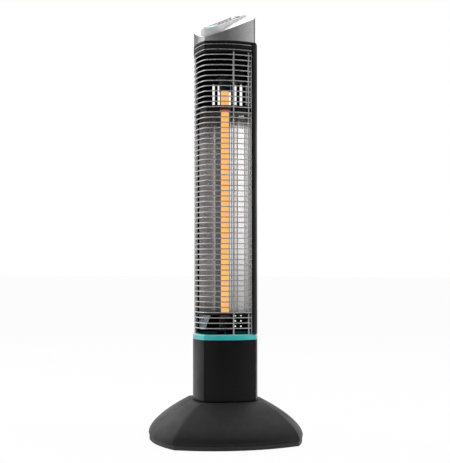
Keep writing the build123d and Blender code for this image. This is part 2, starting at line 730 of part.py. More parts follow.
def rear_housing():
    """The two rear faces, wrapped round the side corners, with air slots."""
    skin = slab(plan_face() - plan_face(HOUSING_WALL), TOWER_Z, HEATER_HEIGHT)
    depth = 2 * TOWER_APOTHEM
    window = block(2 * WINDOW_HALF_WIDTH, depth, HEATER_HEIGHT + 2, (0, -depth / 2, TOWER_Z - 1))
    skin -= window
    for direction in REAR_FACES:
        rearwards = 1 if direction < 90 else -1
        slots = face_plane(direction, -TAB_WIDTH, CAP_Z - SLOT_DROP + SLOT_HEIGHT / 2)
        slots *= Pos(rearwards * SLOT_SHIFT, 0)
        slot = SlotOverall(SLOT_HEIGHT, SLOT_WIDTH, 90)
        skin -= punches(slots, GridLocations(SLOT_PITCH, 1, SLOT_COUNT, 1), slot)
        dots = face_plane(direction, -TAB_WIDTH, TOWER_Z + DOT_LIFT + DOT_PITCH * (DOT_ROWS - 1) / 2)
        dots *= Pos(rearwards * DOT_SHIFT, 0)
        grid = GridLocations(DOT_PITCH, DOT_PITCH, DOT_COLUMNS, DOT_ROWS)
        skin -= punches(dots, grid, Circle(DOT_RADIUS))
        for z in housing_tab_levels():
            skin -= wall_screw_hole(direction, z)
    return skin


def housing_tab_levels():
    return (SHELF_TOP_Z - 1, BAFFLE_TOP_Z - 1)


def reflector_shelf():
    shelf = slab(chamber_plan(GUARD_BACK, HOUSING_INSIDE), SHELF_Z, SHELF_THICKNESS)
    shelf -= disc(LAMP_RADIUS + LAMP_HOLE_PLAY, 0, CAP_Z)
    for direction in REAR_FACES:
        shelf += tab(direction, HOUSING_INSIDE, SHELF_TOP_Z - 1)
        shelf -= tab_hole(direction, SHELF_TOP_Z - 1)
    return shelf


def upper_baffle():
    plan = chamber_plan(GUARD_BACK, HOUSING_INSIDE)
    baffle = slab(plan, BAFFLE_Z, BAFFLE_THICKNESS)
    lip = (plan_face(GUARD_BACK) - plan_face(GUARD_BACK + LIP_WALL)) & half(True)
    baffle += slab(lip, BAFFLE_TOP_Z - LIP_HEIGHT, LIP_HEIGHT)
    for angle in NOTCH_ANGLES:
        x, y = polar(TOWER_APOTHEM, angle)
        cut = Pos(x, y, BAFFLE_TOP_Z - LIP_HEIGHT) * Rot(0, 0, angle)
        baffle -= cut * Box(40, NOTCH_WIDTH, 2 * NOTCH_HEIGHT)
    baffle -= disc(LAMP_RADIUS + LAMP_HOLE_PLAY, 0, CAP_Z)
    for direction in REAR_FACES:
        baffle += tab(direction, HOUSING_INSIDE, BAFFLE_TOP_Z - 1)
        baffle -= tab_hole(direction, BAFFLE_TOP_Z - 1)
    return baffle


def housing_screws():
    places = [(direction, z) for direction in REAR_FACES for z in housing_tab_levels()]
    return group(wall_screw(direction, HOUSING_WALL, z) for direction, z in places)


def reflector():
    """A folded trough: flared sides, two rounded channels and a ridge behind the lamp."""
    right = [REFLECTOR_EDGE, REFLECTOR_BEND, REFLECTOR_TROUGH]
    left = [(-x, y) for x, y in reversed(right)]
    outline = FilletPolyline(*right, REFLECTOR_RIDGE, *left, radius=8)
    sheet = trace(outline, REFLECTOR_SHEET)
    return slab(sheet, SHELF_TOP_Z, BAFFLE_Z - SHELF_TOP_Z)


def lamp_tube():
    return tube(LAMP_RADIUS, LAMP_RADIUS - LAMP_WALL, LAMP_Z, LAMP_LENGTH)


def heating_element():
    rod = disc(ELEMENT_RADIUS, LAMP_Z + SOCKET_DEPTH, LAMP_LENGTH - 2 * SOCKET_DEPTH)
    return rod + disc(1.0, LAMP_Z, LAMP_LENGTH)


def socket(z, base_z):
    body = disc(SOCKET_RADIUS, z, SOCKET_BASE + SOCKET_DEPTH)
    return body - disc(LAMP_RADIUS + FIT / 2, base_z, SOCKET_DEPTH)


def lower_socket():
    return socket(LAMP_Z - SOCKET_BASE, LAMP_Z)


def upper_socket():
    z = LAMP_TOP_Z - SOCKET_DEPTH
    return socket(z, z)


def lower_socket_bracket():
    height = LAMP_Z - SOCKET_BASE - RING_Z
    channel = block(BRACKET_WIDTH, BRACKET_WIDTH, height, (0, 0, RING_Z))
    hollow = BRACKET_WIDTH - 2 * BRACKET_THICKNESS
    return channel - block(hollow, 2 * BRACKET_WIDTH, height - BRACKET_THICKNESS, (0, 0, RING_Z))


def upper_socket_bracket():
    """A strap from the upper socket back to the rear corner of the housing."""
    z = LAMP_TOP_Z + SOCKET_BASE
    strip = Pos(0, -SOCKET_RADIUS) * Rectangle(BRACKET_WIDTH, 4 * TOWER_APOTHEM, align=(Align.CENTER, Align.MIN))
    strip &= plan_face(HOUSING_INSIDE)
    strap = slab(strip, z, BRACKET_THICKNESS)
    back = strip & (plan_face(HOUSING_INSIDE) - plan_face(HOUSING_INSIDE + BRACKET_THICKNESS))
    return strap + slab(back, z, BRACKET_WIDTH / 2)


def lamp_lead_shield():
    """A sheet under the left of the shelf, narrower at its foot."""
    side = corner_reach(GUARD_BACK) - 2
    inner = side - SHIELD_TOP
    points = [(-side, 0), (-inner, 0), (-side + SHIELD_BOTTOM, -SHIELD_HEIGHT), (-side, -SHIELD_HEIGHT)]
    plane = Plane(origin=(0, SHIELD_SHEET, SHELF_Z), x_dir=(1, 0, 0), z_dir=(0, -1, 0))
    return extrude(plane * make_face(Polyline(*points, close=True)), SHIELD_SHEET)


def thermal_cutout():
    place = (0, CABLE_HOLE + LAMP_RADIUS + CUTOUT_RADIUS)
    body = disc(CUTOUT_RADIUS, BAFFLE_TOP_Z, CUTOUT_HEIGHT, place)
    for side in (-1, 1):
        body += block(6, 0.8, CUTOUT_HEIGHT, (side * CUTOUT_RADIUS / 2, place[1], BAFFLE_TOP_Z + CUTOUT_HEIGHT / 2))
    return body


# ---- top ----
def top_collar():
    """The black band under the cap, grooved for the guard's upper rings."""
    foot = COLLAR_Z
    steps = ((0.0, 4.0), (1.2, 2.2), (3.6, COLLAR_INSET))
    sections = [Pos(0, 0, foot + rise) * plan_face(inset) for rise, inset in steps]
    body = loft(sections, ruled=True)
    top_step = steps[-1][0]
    body += slab(plan_face(COLLAR_INSET), foot + top_step, COLLAR_HEIGHT - top_step)
    body -= slab(plan_face(COLLAR_DEPTH), foot - 1, COLLAR_HEIGHT + 1 - COLLAR_PLATE)
    groove_floor = GUARD_INSET + RING_WIRE / 2 + FIT
    for index in range(RING_COUNT):
        z = TOP_RING_Z - index * RING_PITCH
        if z + COLLAR_GROOVE > foot:
            groove = plan_face(-1.0) - plan_face(groove_floor, corner=GUARD_CORNER)
            body -= slab(groove, z - COLLAR_GROOVE, 2 * COLLAR_GROOVE)
    body &= slab(chamber_plan(0, HOUSING_INSIDE), foot - 1, COLLAR_HEIGHT + 2)
    for place in post_places():
        body -= disc(POST_WIRE / 2 + FIT, foot - 1, TOP_RING_Z + FIT - foot + 1, place)
    wraps = Rectangle(4 * TOWER_APOTHEM, 2 * TOWER_APOTHEM) - Rectangle(
        2 * (WINDOW_HALF_WIDTH - SEAM), 2 * TOWER_APOTHEM
    )
    wraps &= plan_face(-2.0) - plan_face(HOUSING_INSIDE)
    body -= slab(wraps, foot - 1, COLLAR_HEIGHT + 2)
    return body - disc(CABLE_HOLE, 0, CAP_Z + 1, (0, -PANEL_FRONT / 4))


def above_crown(lift=0.0):
    """Everything above the cap's crowned top, moved out by the lift."""
    reach = 6 * TOWER_APOTHEM
    crown = CAP_CHORD.offset(CAP_CROWN - CROWN_RADIUS) * Rot(0, 90, 0) * Cylinder(CROWN_RADIUS + lift, reach)
    return extrude(CAP_CHORD.offset(-4 * CAP_CROWN) * Rectangle(reach, reach), reach) - crown


def cap_plan(inset=0.0):
    return Pos(0, -CAP_SHIFT) * plan_face(CAP_INSET + inset)


def panel_outline(inset=0.0):
    """The long rounded panel in its own plane."""
    shape = SlotOverall(PANEL_FRONT + PANEL_REAR - 2 * inset, 2 * (PANEL_HALF_WIDTH - inset), 90)
    return PANEL * Pos(0, (PANEL_REAR - PANEL_FRONT) / 2) * shape


def top_cap():
    height = 4 * TOWER_APOTHEM
    body = slab(cap_plan(), CAP_Z, height) - above_crown()
    body -= slab(cap_plan(CAP_WALL), CAP_Z - 1, height) - above_crown(-CAP_WALL)
    return body - extrude(panel_outline(BEZEL_WIDTH / 2), PANEL_HALF_WIDTH, both=True)


def panel_bezel():
    """The raised pod: a rim that stands on the crown, and a skirt through the cap."""
    rim = extrude(panel_outline() - panel_outline(BEZEL_WIDTH), BEZEL_HEIGHT)
    rim = chamfer(rim.faces().sort_by(PANEL_UP)[-1].outer_wire().edges(), BEZEL_HEIGHT * 0.4)
    wall = extrude(panel_outline(), -PANEL_HALF_WIDTH, taper=-BEZEL_DRAFT)
    wall -= extrude(panel_outline(BEZEL_WIDTH), -2 * PANEL_HALF_WIDTH)
    wall &= above_crown()
    skirt = panel_outline(BEZEL_WIDTH / 2 + FIT / 2) - panel_outline(BEZEL_WIDTH)
    skirt = extrude(skirt, -PANEL_HALF_WIDTH) & above_crown(-CAP_WALL - BEZEL_SKIRT)
    return rim + wall + skirt


def key_places():
    places = {name: (0.0, place, SMALL_KEY_RADIUS) for name, place in SMALL_KEY_PLACES.items()}
    places["power_button"] = (0.0, POWER_KEY_PLACE, POWER_KEY_RADIUS)
    return places


def panel_plate():
    floor = PANEL.offset(-PANEL_DEPTH)
    plate = extrude(panel_outline(BEZEL_WIDTH + FIT / 2), -(PANEL_DEPTH + PANEL_THICKNESS))
    plate -= extrude(panel_outline(BEZEL_WIDTH), -PANEL_DEPTH)
    for x, y, radius in key_places().values():
        plate -= extrude(floor * Pos(x, y) * Circle(radius + KEY_PLAY), 20, both=True)
    window = RectangleRounded(DISPLAY_WIDTH, DISPLAY_LENGTH, DISPLAY_CORNER)
    return plate - extrude(floor * Pos(0, DISPLAY_PLACE) * window, 20, both=True)


def display_window():
    floor = PANEL.offset(-PANEL_DEPTH)
    window = RectangleRounded(DISPLAY_WIDTH - FIT, DISPLAY_LENGTH - FIT, DISPLAY_CORNER)
    pane = floor * Pos(0, DISPLAY_PLACE) * window
    return extrude(pane, DISPLAY_PROUD) + extrude(pane, -PANEL_THICKNESS)


def display_module():
    back = PANEL.offset(-PANEL_DEPTH - PANEL_THICKNESS)
    box = Rectangle(DISPLAY_WIDTH - 4, DISPLAY_LENGTH - 4)
    return extrude(back * Pos(0, DISPLAY_PLACE) * box, -BOARD_DROP)


def board_plane():
    return PANEL.offset(-PANEL_DEPTH - PANEL_THICKNESS - BOARD_DROP)


def control_board():
    outline = panel_outline(BEZEL_WIDTH + 1)
    drop = PANEL_DEPTH + PANEL_THICKNESS + BOARD_DROP
    deep = extrude(outline, -(drop + BOARD_THICKNESS)) - extrude(outline, -drop)
    limit = block(200, 200, 400, (0, 0, CAP_Z + 1))
    walls = slab(cap_plan(CAP_WALL + 1), CAP_Z, 200)
    return deep & limit & walls


def board_standoffs():
    posts = []
    for x, y in STANDOFF_PLACES:
        post = board_plane() * Pos(x, y) * Circle(STANDOFF_RADIUS)
        posts.append(extrude(post, BOARD_DROP))
    return group(posts)


def key_switches():
    """One small switch under each button."""
    switches = []
    height = BOARD_DROP - KEY_FLANGE_THICKNESS - KEY_TRAVEL - 2 * KEY_PLAY - 2
    for x, y, _ in key_places().values():
        body = board_plane() * Pos(x, y) * Rectangle(SWITCH_SIZE, SWITCH_SIZE)
        switches.append(extrude(body, height))
    return group(switches)


def button(x, y, radius):
    """A cap through the panel, a flange under it and a short stem over its switch."""
    floor = PANEL.offset(-PANEL_DEPTH)
    key = extrude(floor * Pos(x, y) * Circle(radius), KEY_PROUD)
    key = chamfer(key.faces().sort_by(PANEL_UP)[-1].edges(), KEY_PROUD * 0.2)
    key += extrude(floor * Pos(x, y) * Circle(radius), -PANEL_THICKNESS - KEY_PLAY)
    under = floor.offset(-PANEL_THICKNESS - KEY_PLAY)
    key += extrude(under * Pos(x, y) * Circle(radius + KEY_FLANGE), -KEY_FLANGE_THICKNESS)
    return key + extrude(under * Pos(x, y) * Circle(KEY_STEM), -KEY_FLANGE_THICKNESS - 2 + KEY_PLAY)


def main():
    os.makedirs("parts", exist_ok=True)
    column_front_cover, column_rear_cover = column_covers()
    nodes = {
        "base_tray": base_tray(),
        "rubber_feet": rubber_feet(),
        "ballast_plate": ballast_plate(),
        "base_screws": base_screws(),
        "base_front_shell": base_shell(True),
        "base_rear_shell": base_rear_shell(),
        "cord_gland": cord_gland(),
        "pedestal": pedestal(),
        "pedestal_screws": pedestal_screws(),
        "tip_switch_body": tip_switch_body(),
        "tip_switch_plunger": tip_switch_plunger(),
        "bearing_ring": bearing_ring(),
        "pivot_spindle": pivot_spindle(),
        "retaining_collar": retaining_collar(),
        "sector_gear": sector_gear(),
        "spindle_nut": spindle_nut(),
        "swivel_plate": swivel_plate(),
        "oscillation_motor": oscillation_motor(),
        "motor_screws": motor_screws(),
        "drive_pinion": drive_pinion(),
        "column_front_cover": column_front_cover,
        "column_rear_cover": column_rear_cover,
        "column_deck": column_deck(),
        "column_screws": column_screws(),
        "power_board": power_board(),
        "power_parts": power_parts(),
        "trim_ring": trim_ring(),
        "wire_guard": wire_guard(),
        "rear_housing": rear_housing(),
        "housing_screws": housing_screws(),
        "reflector_shelf": reflector_shelf(),
        "upper_baffle": upper_baffle(),
        "reflector": reflector(),
        "lamp_tube": lamp_tube(),
        "heating_element": heating_element(),
        "lower_socket": lower_socket(),
        "upper_socket": upper_socket(),
        "lower_socket_bracket": lower_socket_bracket(),
        "upper_socket_bracket": upper_socket_bracket(),
        "lamp_lead_shield": lamp_lead_shield(),
        "thermal_cutout": thermal_cutout(),
        "top_collar": top_collar(),
        "top_cap": top_cap(),
        "panel_bezel": panel_bezel(),
        "panel_plate": panel_plate(),
        "display_window": display_window(),
        "display_module": display_module(),
        "control_board": control_board(),
        "board_standoffs": board_standoffs(),
        "key_switches": key_switches(),
    }
    for name, place in key_places().items():
        nodes[name] = button(*place)
    for name, shape in nodes.items():
        export_step(shape, f"parts/{name}.step")


main()
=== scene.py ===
"""Finishes, lamp, controls and studio of an infrared tower heater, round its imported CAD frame."""
import json
import math

import bmesh
import bpy
from bpy.props import FloatProperty, FloatVectorProperty, PointerProperty
from mathutils import Matrix, Vector


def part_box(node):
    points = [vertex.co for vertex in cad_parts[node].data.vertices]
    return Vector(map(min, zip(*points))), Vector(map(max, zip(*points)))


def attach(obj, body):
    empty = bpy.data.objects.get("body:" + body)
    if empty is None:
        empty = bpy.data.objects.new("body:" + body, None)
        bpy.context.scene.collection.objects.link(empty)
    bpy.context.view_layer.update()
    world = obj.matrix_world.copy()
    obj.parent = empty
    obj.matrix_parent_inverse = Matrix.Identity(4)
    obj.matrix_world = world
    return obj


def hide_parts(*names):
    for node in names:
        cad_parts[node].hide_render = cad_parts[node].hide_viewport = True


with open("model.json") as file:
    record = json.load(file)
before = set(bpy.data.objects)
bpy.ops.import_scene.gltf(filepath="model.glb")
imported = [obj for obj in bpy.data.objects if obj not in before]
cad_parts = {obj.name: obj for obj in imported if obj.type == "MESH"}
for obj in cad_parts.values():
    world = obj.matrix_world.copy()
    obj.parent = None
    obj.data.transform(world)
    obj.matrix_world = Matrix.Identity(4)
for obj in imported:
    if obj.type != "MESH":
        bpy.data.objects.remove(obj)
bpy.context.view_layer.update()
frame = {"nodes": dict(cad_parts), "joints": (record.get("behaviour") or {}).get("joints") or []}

bl_info = {
    "name": "Infrared tower heater",
    "version": (1, 0, 0),
    "blender": (4, 5, 0),
    "location": "3D View > Sidebar > Heater",
    "description": "Dresses the tower heater's CAD frame with its finishes, lamp, controls and studio",
    "category": "Object",
}

MM = 0.001
TAU = 2 * math.pi


# ---- sizes and colours
def colour(name, description, default):
    return FloatVectorProperty(
        name=name, description=description, default=default, subtype="COLOR", min=0, max=1
    )


def length(name, description, default):
    return FloatProperty(
        name=name, description=description, default=default, unit="LENGTH", subtype="DISTANCE"
    )


def angle(name, description, degrees):
    return FloatProperty(
        name=name, description=description, default=math.radians(degrees), subtype="ANGLE"
    )


def power(name, description, watts):
    return FloatProperty(name=name, description=description, default=watts, unit="POWER")


class HeaterColours(bpy.types.PropertyGroup):
    """Colours of the finishes, as they look under plain light."""

    shell: colour("Base shell", "Matt dark grey plastic of the dome", (0.009, 0.009, 0.0094))
    tray: colour("Tray", "Black plastic of the bottom tray", (0.012, 0.012, 0.013))
    column: colour("Column", "Near-black satin plastic of the covers", (0.0045, 0.0045, 0.0048))
    housing: colour("Housing", "Near-black plastic of the rear housing", (0.005, 0.005, 0.0053))
    chamber: colour("Chamber", "Black paint inside the heater section", (0.006, 0.006, 0.0062))
    teal: colour("Trim ring", "Teal of the trim ring", (0.035, 0.50, 0.51))
    wire: colour("Guard wire", "Chromed steel wire", (0.62, 0.62, 0.63))
    sheet: colour("Reflector", "Bright aluminium sheet", (0.95, 0.93, 0.93))
    silver: colour("Cap", "Silver metallic paint", (0.62, 0.62, 0.63))
    bezel: colour("Panel rim", "Warm white of the raised panel rim", (0.80, 0.74, 0.75))
    pod: colour("Panel wall", "Pale grey of the wall under the panel rim", (0.60, 0.60, 0.61))
    panel: colour("Panel", "Satin grey of the control panel", (0.30, 0.30, 0.31))
    key: colour("Small keys", "Pale pink-white of the small keys", (0.80, 0.74, 0.75))
    display: colour("Display", "Teal light of the display", (0.03, 0.48, 0.50))
    glow: colour("Lamp glow", "Orange of the lit lamp tube", (0.99, 0.45, 0.115))


class HeaterSizes(bpy.types.PropertyGroup):
    """Sizes of the pieces that are made here round the CAD nodes."""

    weld: length("Weld nugget", "Half width of the nugget where a ring crosses a post", 1.15 * MM)
    ring_pitch: length("Ring pitch", "From one guard ring to the next", 9.7 * MM)
    pinch: length("Pinch", "Length over which the tube narrows at each end", 7 * MM)
    spiral_pitch: length("Spiral pitch", "Rise of the carbon ribbon in one turn", 11 * MM)
    digit: length("Digit height", "Height of a numeral on the display", 8.6 * MM)
    dish: length("Key dish", "Depth of the hollow in a key's top", 0.35 * MM)


class StudioSettings(bpy.types.PropertyGroup):
    """The camera of the photograph and the soft lamps."""

    azimuth: angle("Azimuth", "Camera round the tower from the front", 34)
    distance: length("Distance", "Camera to the tower's axis", 1.9)
    height: length("Height", "Camera above the floor", 0.316)
    tilt: angle("Tilt", "Camera looks up by this", 2.19)
    lens: FloatProperty(name="Lens", description="Focal length in millimetres", default=78.3, min=10)
    backdrop: FloatProperty(
        name="Backdrop", description="Brightness of the backdrop", default=1.0, min=0, max=1
    )
    fill: FloatProperty(name="Fill", description="Even light from all round", default=0.36, min=0)
    left_lamp: power("Left lamp", "Power of the left soft box", 45)
    right_lamp: power("Right lamp", "Power of the right soft box", 28)
    top_lamp: power("Top lamp", "Power of the overhead soft box", 30)


def colours():
    return bpy.context.scene.heater_colours


def sizes():
    return bpy.context.scene.heater_sizes


# ---- node tools
def node(tree, kind, inputs=None, **settings):
    """A node with its settings, its inputs linked from sockets or set to plain values."""
    made = tree.nodes.new(kind)
    for name, value in settings.items():
        setattr(made, name, value)
    for socket, value in (inputs or {}).items():
        if isinstance(value, bpy.types.NodeSocket):
            tree.links.new(value, made.inputs[socket])
        else:
            made.inputs[socket].default_value = value
    return made


def feed(tree, shader, **sources):
    """Links outputs to a node's sockets. An underscore stands for a space."""
    for socket, source in sources.items():
        tree.links.new(source, shader.inputs[socket.replace("_", " ")])


def math_node(tree, operation, first, second):
    return node(tree, "ShaderNodeMath", {0: first, 1: second}, operation=operation).outputs[0]


def vector_node(tree, operation, first, second):
    made = node(tree, "ShaderNodeVectorMath", {0: first, 1: second}, operation=operation)
    return made.outputs["Value" if operation == "DOT_PRODUCT" else "Vector"]


def spread(tree, value, low, high, to_low=0.0, to_high=1.0):
    """Maps value from low..high to to_low..to_high, clamped."""
    inputs = {"Value": value, "From Min": low, "From Max": high, "To Min": to_low, "To Max": to_high}
    return node(tree, "ShaderNodeMapRange", inputs).outputs["Result"]


def blend(tree, factor, first, second):
    """first where factor is 0 and second where it is 1. Plain colours are (r, g, b)."""
    made = node(tree, "ShaderNodeMix", {"Factor": factor}, data_type="RGBA")
    for socket, value in ((made.inputs[6], first), (made.inputs[7], second)):
        if isinstance(value, bpy.types.NodeSocket):
            tree.links.new(value, socket)
        else:
            socket.default_value = (*value[:3], 1)
    return made.outputs[2]


def scaled(rgb, factor):
    return tuple(min(1.0, channel * factor) for channel in rgb[:3])


def shaded(tree, factor, rgb, low, high):
    """A colour that varies with factor from low to high times itself."""
    return blend(tree, factor, scaled(rgb, low), scaled(rgb, high))


def own_place(tree, scale=(1, 1, 1)):
    """The point's own place on the piece, stretched by scale."""
    place = node(tree, "ShaderNodeTexCoord").outputs["Object"]
    return node(tree, "ShaderNodeMapping", {"Vector": place, "Scale": scale}).outputs["Vector"]


def noise(tree, scale, detail, place=None, **more):
    """Soft noise from 0 to 1, over the piece's own place unless another is given."""
    place = own_place(tree) if place is None else place
    inputs = {"Vector": place, "Scale": scale, "Detail": detail, **more}
    return node(tree, "ShaderNodeTexNoise", inputs).outputs["Fac"]


def cells(tree, scale, output="Distance"):
    """Irregular cells over the piece's own place."""
    inputs = {"Vector": own_place(tree), "Scale": scale}
    return node(tree, "ShaderNodeTexVoronoi", inputs).outputs[output]


def bricks(tree, scale, first, second, mortar, **more):
    """Rows of cells in two colours with a third between them."""
    inputs = {"Vector": own_place(tree), "Scale": scale, **more}
    for label, rgb in (("Color1", first), ("Color2", second), ("Mortar", mortar)):
        inputs[label] = (*rgb[:3], 1)
    return node(tree, "ShaderNodeTexBrick", inputs).outputs


def bump(tree, height, distance, strength, normal=None):
    inputs = {"Height": height, "Distance": distance, "Strength": strength}
    if normal is not None:
        inputs["Normal"] = normal
    return node(tree, "ShaderNodeBump", inputs).outputs["Normal"]


def new_effect(name, inputs, outputs):
    """An empty shader node group: its tree, its inputs and its output node.

    A tuple makes a vector input. The one vector output is Normal."""
    tree = bpy.data.node_groups.new(name, "ShaderNodeTree")
    for label, default in inputs.items():
        kind = "NodeSocketVector" if isinstance(default, tuple) else "NodeSocketFloat"
        tree.interface.new_socket(label, in_out="INPUT", socket_type=kind).default_value = default
    for label in outputs:
        kind = "NodeSocketVector" if label == "Normal" else "NodeSocketFloat"
        tree.interface.new_socket(label, in_out="OUTPUT", socket_type=kind)
    return tree, tree.nodes.new("NodeGroupInput").outputs, tree.nodes.new("NodeGroupOutput")


def effect(tree, name, **inputs):
    """The outputs of a shared effect placed in a material."""
    made = node(tree, "ShaderNodeGroup", node_tree=bpy.data.node_groups[name])
    for socket, value in inputs.items():
        made.inputs[socket].default_value = value
    return made.outputs


# ---- shared effects
def make_moulded_grain():
    """Spark-eroded grain of a moulded or powder-coated skin, with slow mottling."""
    tree, given, out = new_effect("moulded grain", {"Fineness": 1500.0}, ("Height", "Mottle"))
    fine = noise(tree, given["Fineness"], 3.0)
    pits = spread(tree, cells(tree, given["Fineness"]), 0.0, 0.6)
    height = math_node(tree, "ADD", fine, math_node(tree, "MULTIPLY", pits, 0.45))
    feed(tree, out, Height=height, Mottle=spread(tree, noise(tree, 26.0, 5.0), 0.3, 0.7))


def make_worn_edge():
    """Rounded normals at sharp edges, and a broken mask where handling has polished them."""
    inputs = {"Width": 0.0006, "Breaks": 240.0}
    tree, given, out = new_effect("worn edge", inputs, ("Normal", "Mask"))
    soft = node(tree, "ShaderNodeBevel", {"Radius": given["Width"]}, samples=4).outputs["Normal"]
    flat = node(tree, "ShaderNodeNewGeometry").outputs["Normal"]
    edge = spread(tree, vector_node(tree, "DOT_PRODUCT", soft, flat), 0.995, 0.86)
    broken = spread(tree, noise(tree, given["Breaks"], 4.0), 0.38, 0.62)
    feed(tree, out, Normal=soft, Mask=math_node(tree, "MULTIPLY", edge, broken))


def make_streaks():
    """Fine lines of drawn or brushed metal. Stretch is lines per metre along X, Y and Z."""
    inputs = {"Stretch": (900.0, 900.0, 14.0)}
    tree, given, out = new_effect("streaks", inputs, ("Height", "Shade"))
    place = node(tree, "ShaderNodeTexCoord").outputs["Object"]
    drawn = vector_node(tree, "MULTIPLY", place, given["Stretch"])
    lines = noise(tree, 1.0, 4.0, drawn, Roughness=0.65)
    feed(tree, out, Height=lines, Shade=spread(tree, lines, 0.35, 0.65))


def make_settled_dust():
    """A thin uneven film on what faces up."""
    tree, given, out = new_effect("settled dust", {"Amount": 0.3}, ("Mask",))
    facing = node(tree, "ShaderNodeNewGeometry").outputs["Normal"]
    up = spread(tree, node(tree, "ShaderNodeSeparateXYZ", {"Vector": facing}).outputs["Z"], 0.25, 0.95)
    lying = math_node(tree, "MULTIPLY", up, noise(tree, 90.0, 6.0))
    feed(tree, out, Mask=math_node(tree, "MULTIPLY", lying, given["Amount"]))


def make_smudges():
    """Soft patches where hands and cleaning change the gloss."""
    tree, given, out = new_effect("smudges", {"Size": 30.0}, ("Mask",))
    soft = noise(tree, given["Size"], 2.5, own_place(tree, (1.0, 1.0, 0.45)), Distortion=0.6)
    feed(tree, out, Mask=spread(tree, soft, 0.35, 0.7))


EFFECTS = (make_moulded_grain, make_worn_edge, make_streaks, make_settled_dust, make_smudges)


# ---- finishes
DUST = (0.16, 0.155, 0.15)


def blank(name, roughness, metallic=0.0, **sockets):
    """A material with plain values on its shader: the material, its tree and the shader."""
    made = bpy.data.materials.new(name)
    made.use_nodes = True
    shader = made.node_tree.nodes["Principled BSDF"]
    for socket, value in {"Roughness": roughness, "Metallic": metallic, **sockets}.items():
        shader.inputs[socket.replace("_", " ")].default_value = value
    return made, made.node_tree, shader


def moulded(name, rgb, roughness, fineness, depth, edge, wear, dust, level):
    """Moulded plastic: fine grain, mottling, polished edges and a little dust."""
    made, tree, shader = blank(name, roughness, Specular_IOR_Level=level)
    grain = effect(tree, "moulded grain", Fineness=fineness)
    edges = effect(tree, "worn edge", Width=edge * MM)
    film = effect(tree, "settled dust", Amount=dust)
    tone = shaded(tree, grain["Mottle"], rgb, 0.9, 1.12)
    rubbed = tuple(channel * 1.6 + 0.02 for channel in rgb[:3])
    tone = blend(tree, math_node(tree, "MULTIPLY", edges["Mask"], wear), tone, rubbed)
    tone = blend(tree, film["Mask"], tone, DUST)
    gloss = spread(tree, effect(tree, "smudges")["Mask"], 0.0, 1.0, roughness - 0.05, roughness + 0.07)
    skin = bump(tree, grain["Height"], depth * MM, 0.6, edges["Normal"])
    feed(tree, shader, Base_Color=tone, Roughness=gloss, Normal=skin)
    return made


def plated(name, rgb, roughness, stretch, shade):
    """Plated or bare metal: fine lines, soft patches and rounded edges."""
    made, tree, shader = blank(name, roughness, 1.0)
    lines = effect(tree, "streaks", Stretch=stretch)
    edges = effect(tree, "worn edge", Width=0.3 * MM, Breaks=500.0)
    smudge = effect(tree, "smudges", Size=45.0)["Mask"]
    tone = shaded(tree, lines["Shade"], rgb, shade, 1.0)
    gloss = spread(tree, smudge, 0.0, 1.0, roughness - 0.05, roughness + 0.08)
    skin = bump(tree, lines["Height"], 0.02 * MM, 0.5, edges["Normal"])
    feed(tree, shader, Base_Color=tone, Roughness=gloss, Normal=skin)
    return made


def chamber_paint(name):
    """Heat-proof paint, browned a little by the lamp."""
    made, tree, shader = blank(name, 0.5, Specular_IOR_Level=0.12)
    grain = effect(tree, "moulded grain", Fineness=2200.0)
    edges = effect(tree, "worn edge", Width=0.4 * MM)
    browned, bare = (0.016, 0.0115, 0.009), (0.10, 0.10, 0.10)
    tone = blend(tree, noise(tree, 45.0, 3.0), colours().chamber, browned)
    tone = blend(tree, edges["Mask"], tone, bare)
    skin = bump(tree, grain["Height"], 0.04 * MM, 0.6, edges["Normal"])
    feed(tree, shader, Base_Color=tone, Normal=skin)
    return made


def teal_lacquer(name):
    """Gloss teal with depth under a clear coat."""
    made, tree, shader = blank(name, 0.3, 0.15, Coat_Weight=0.7, Coat_Roughness=0.06)
    edges = effect(tree, "worn edge", Width=0.7 * MM, Breaks=160.0)
    grain = effect(tree, "moulded grain", Fineness=3200.0)
    film = effect(tree, "settled dust", Amount=0.12)
    worn, dusty = (0.35, 0.82, 0.82), (0.45, 0.60, 0.60)
    tone = shaded(tree, grain["Mottle"], colours().teal, 0.88, 1.12)
    tone = blend(tree, edges["Mask"], tone, worn)
    tone = blend(tree, film["Mask"], tone, dusty)
    skin = bump(tree, grain["Height"], 0.01 * MM, 0.4, edges["Normal"])
    feed(tree, shader, Base_Color=tone, Normal=skin)
    return made


def reflector_aluminium(name):
    """Rolled aluminium: vertical roll lines, slight waves, and a pinkish tint along the waves that is painted
    warm light of the lamp.
    """
    made, tree, shader = blank(name, 0.16, 0.94)
    lines = effect(tree, "streaks", Stretch=(1500.0, 1500.0, 9.0))
    wave = noise(tree, 11.0, 1.0, own_place(tree, (1, 1, 3)))
    # Painted warm light of the lamp: a pinkish tint blended in along the slow waves.
    lamplit = (0.95, 0.87, 0.87)
    tone = shaded(tree, lines["Shade"], colours().sheet, 0.9, 1.0)
    tone = blend(tree, spread(tree, wave, 0.45, 0.8, 0.0, 0.35), tone, lamplit)
    rolled = bump(tree, lines["Height"], 0.03 * MM, 0.5)
    gloss = spread(tree, wave, 0.3, 0.7, 0.13, 0.20)
    feed(tree, shader, Base_Color=tone, Roughness=gloss, Normal=bump(tree, wave, 0.3 * MM, 0.3, rolled))
    return made


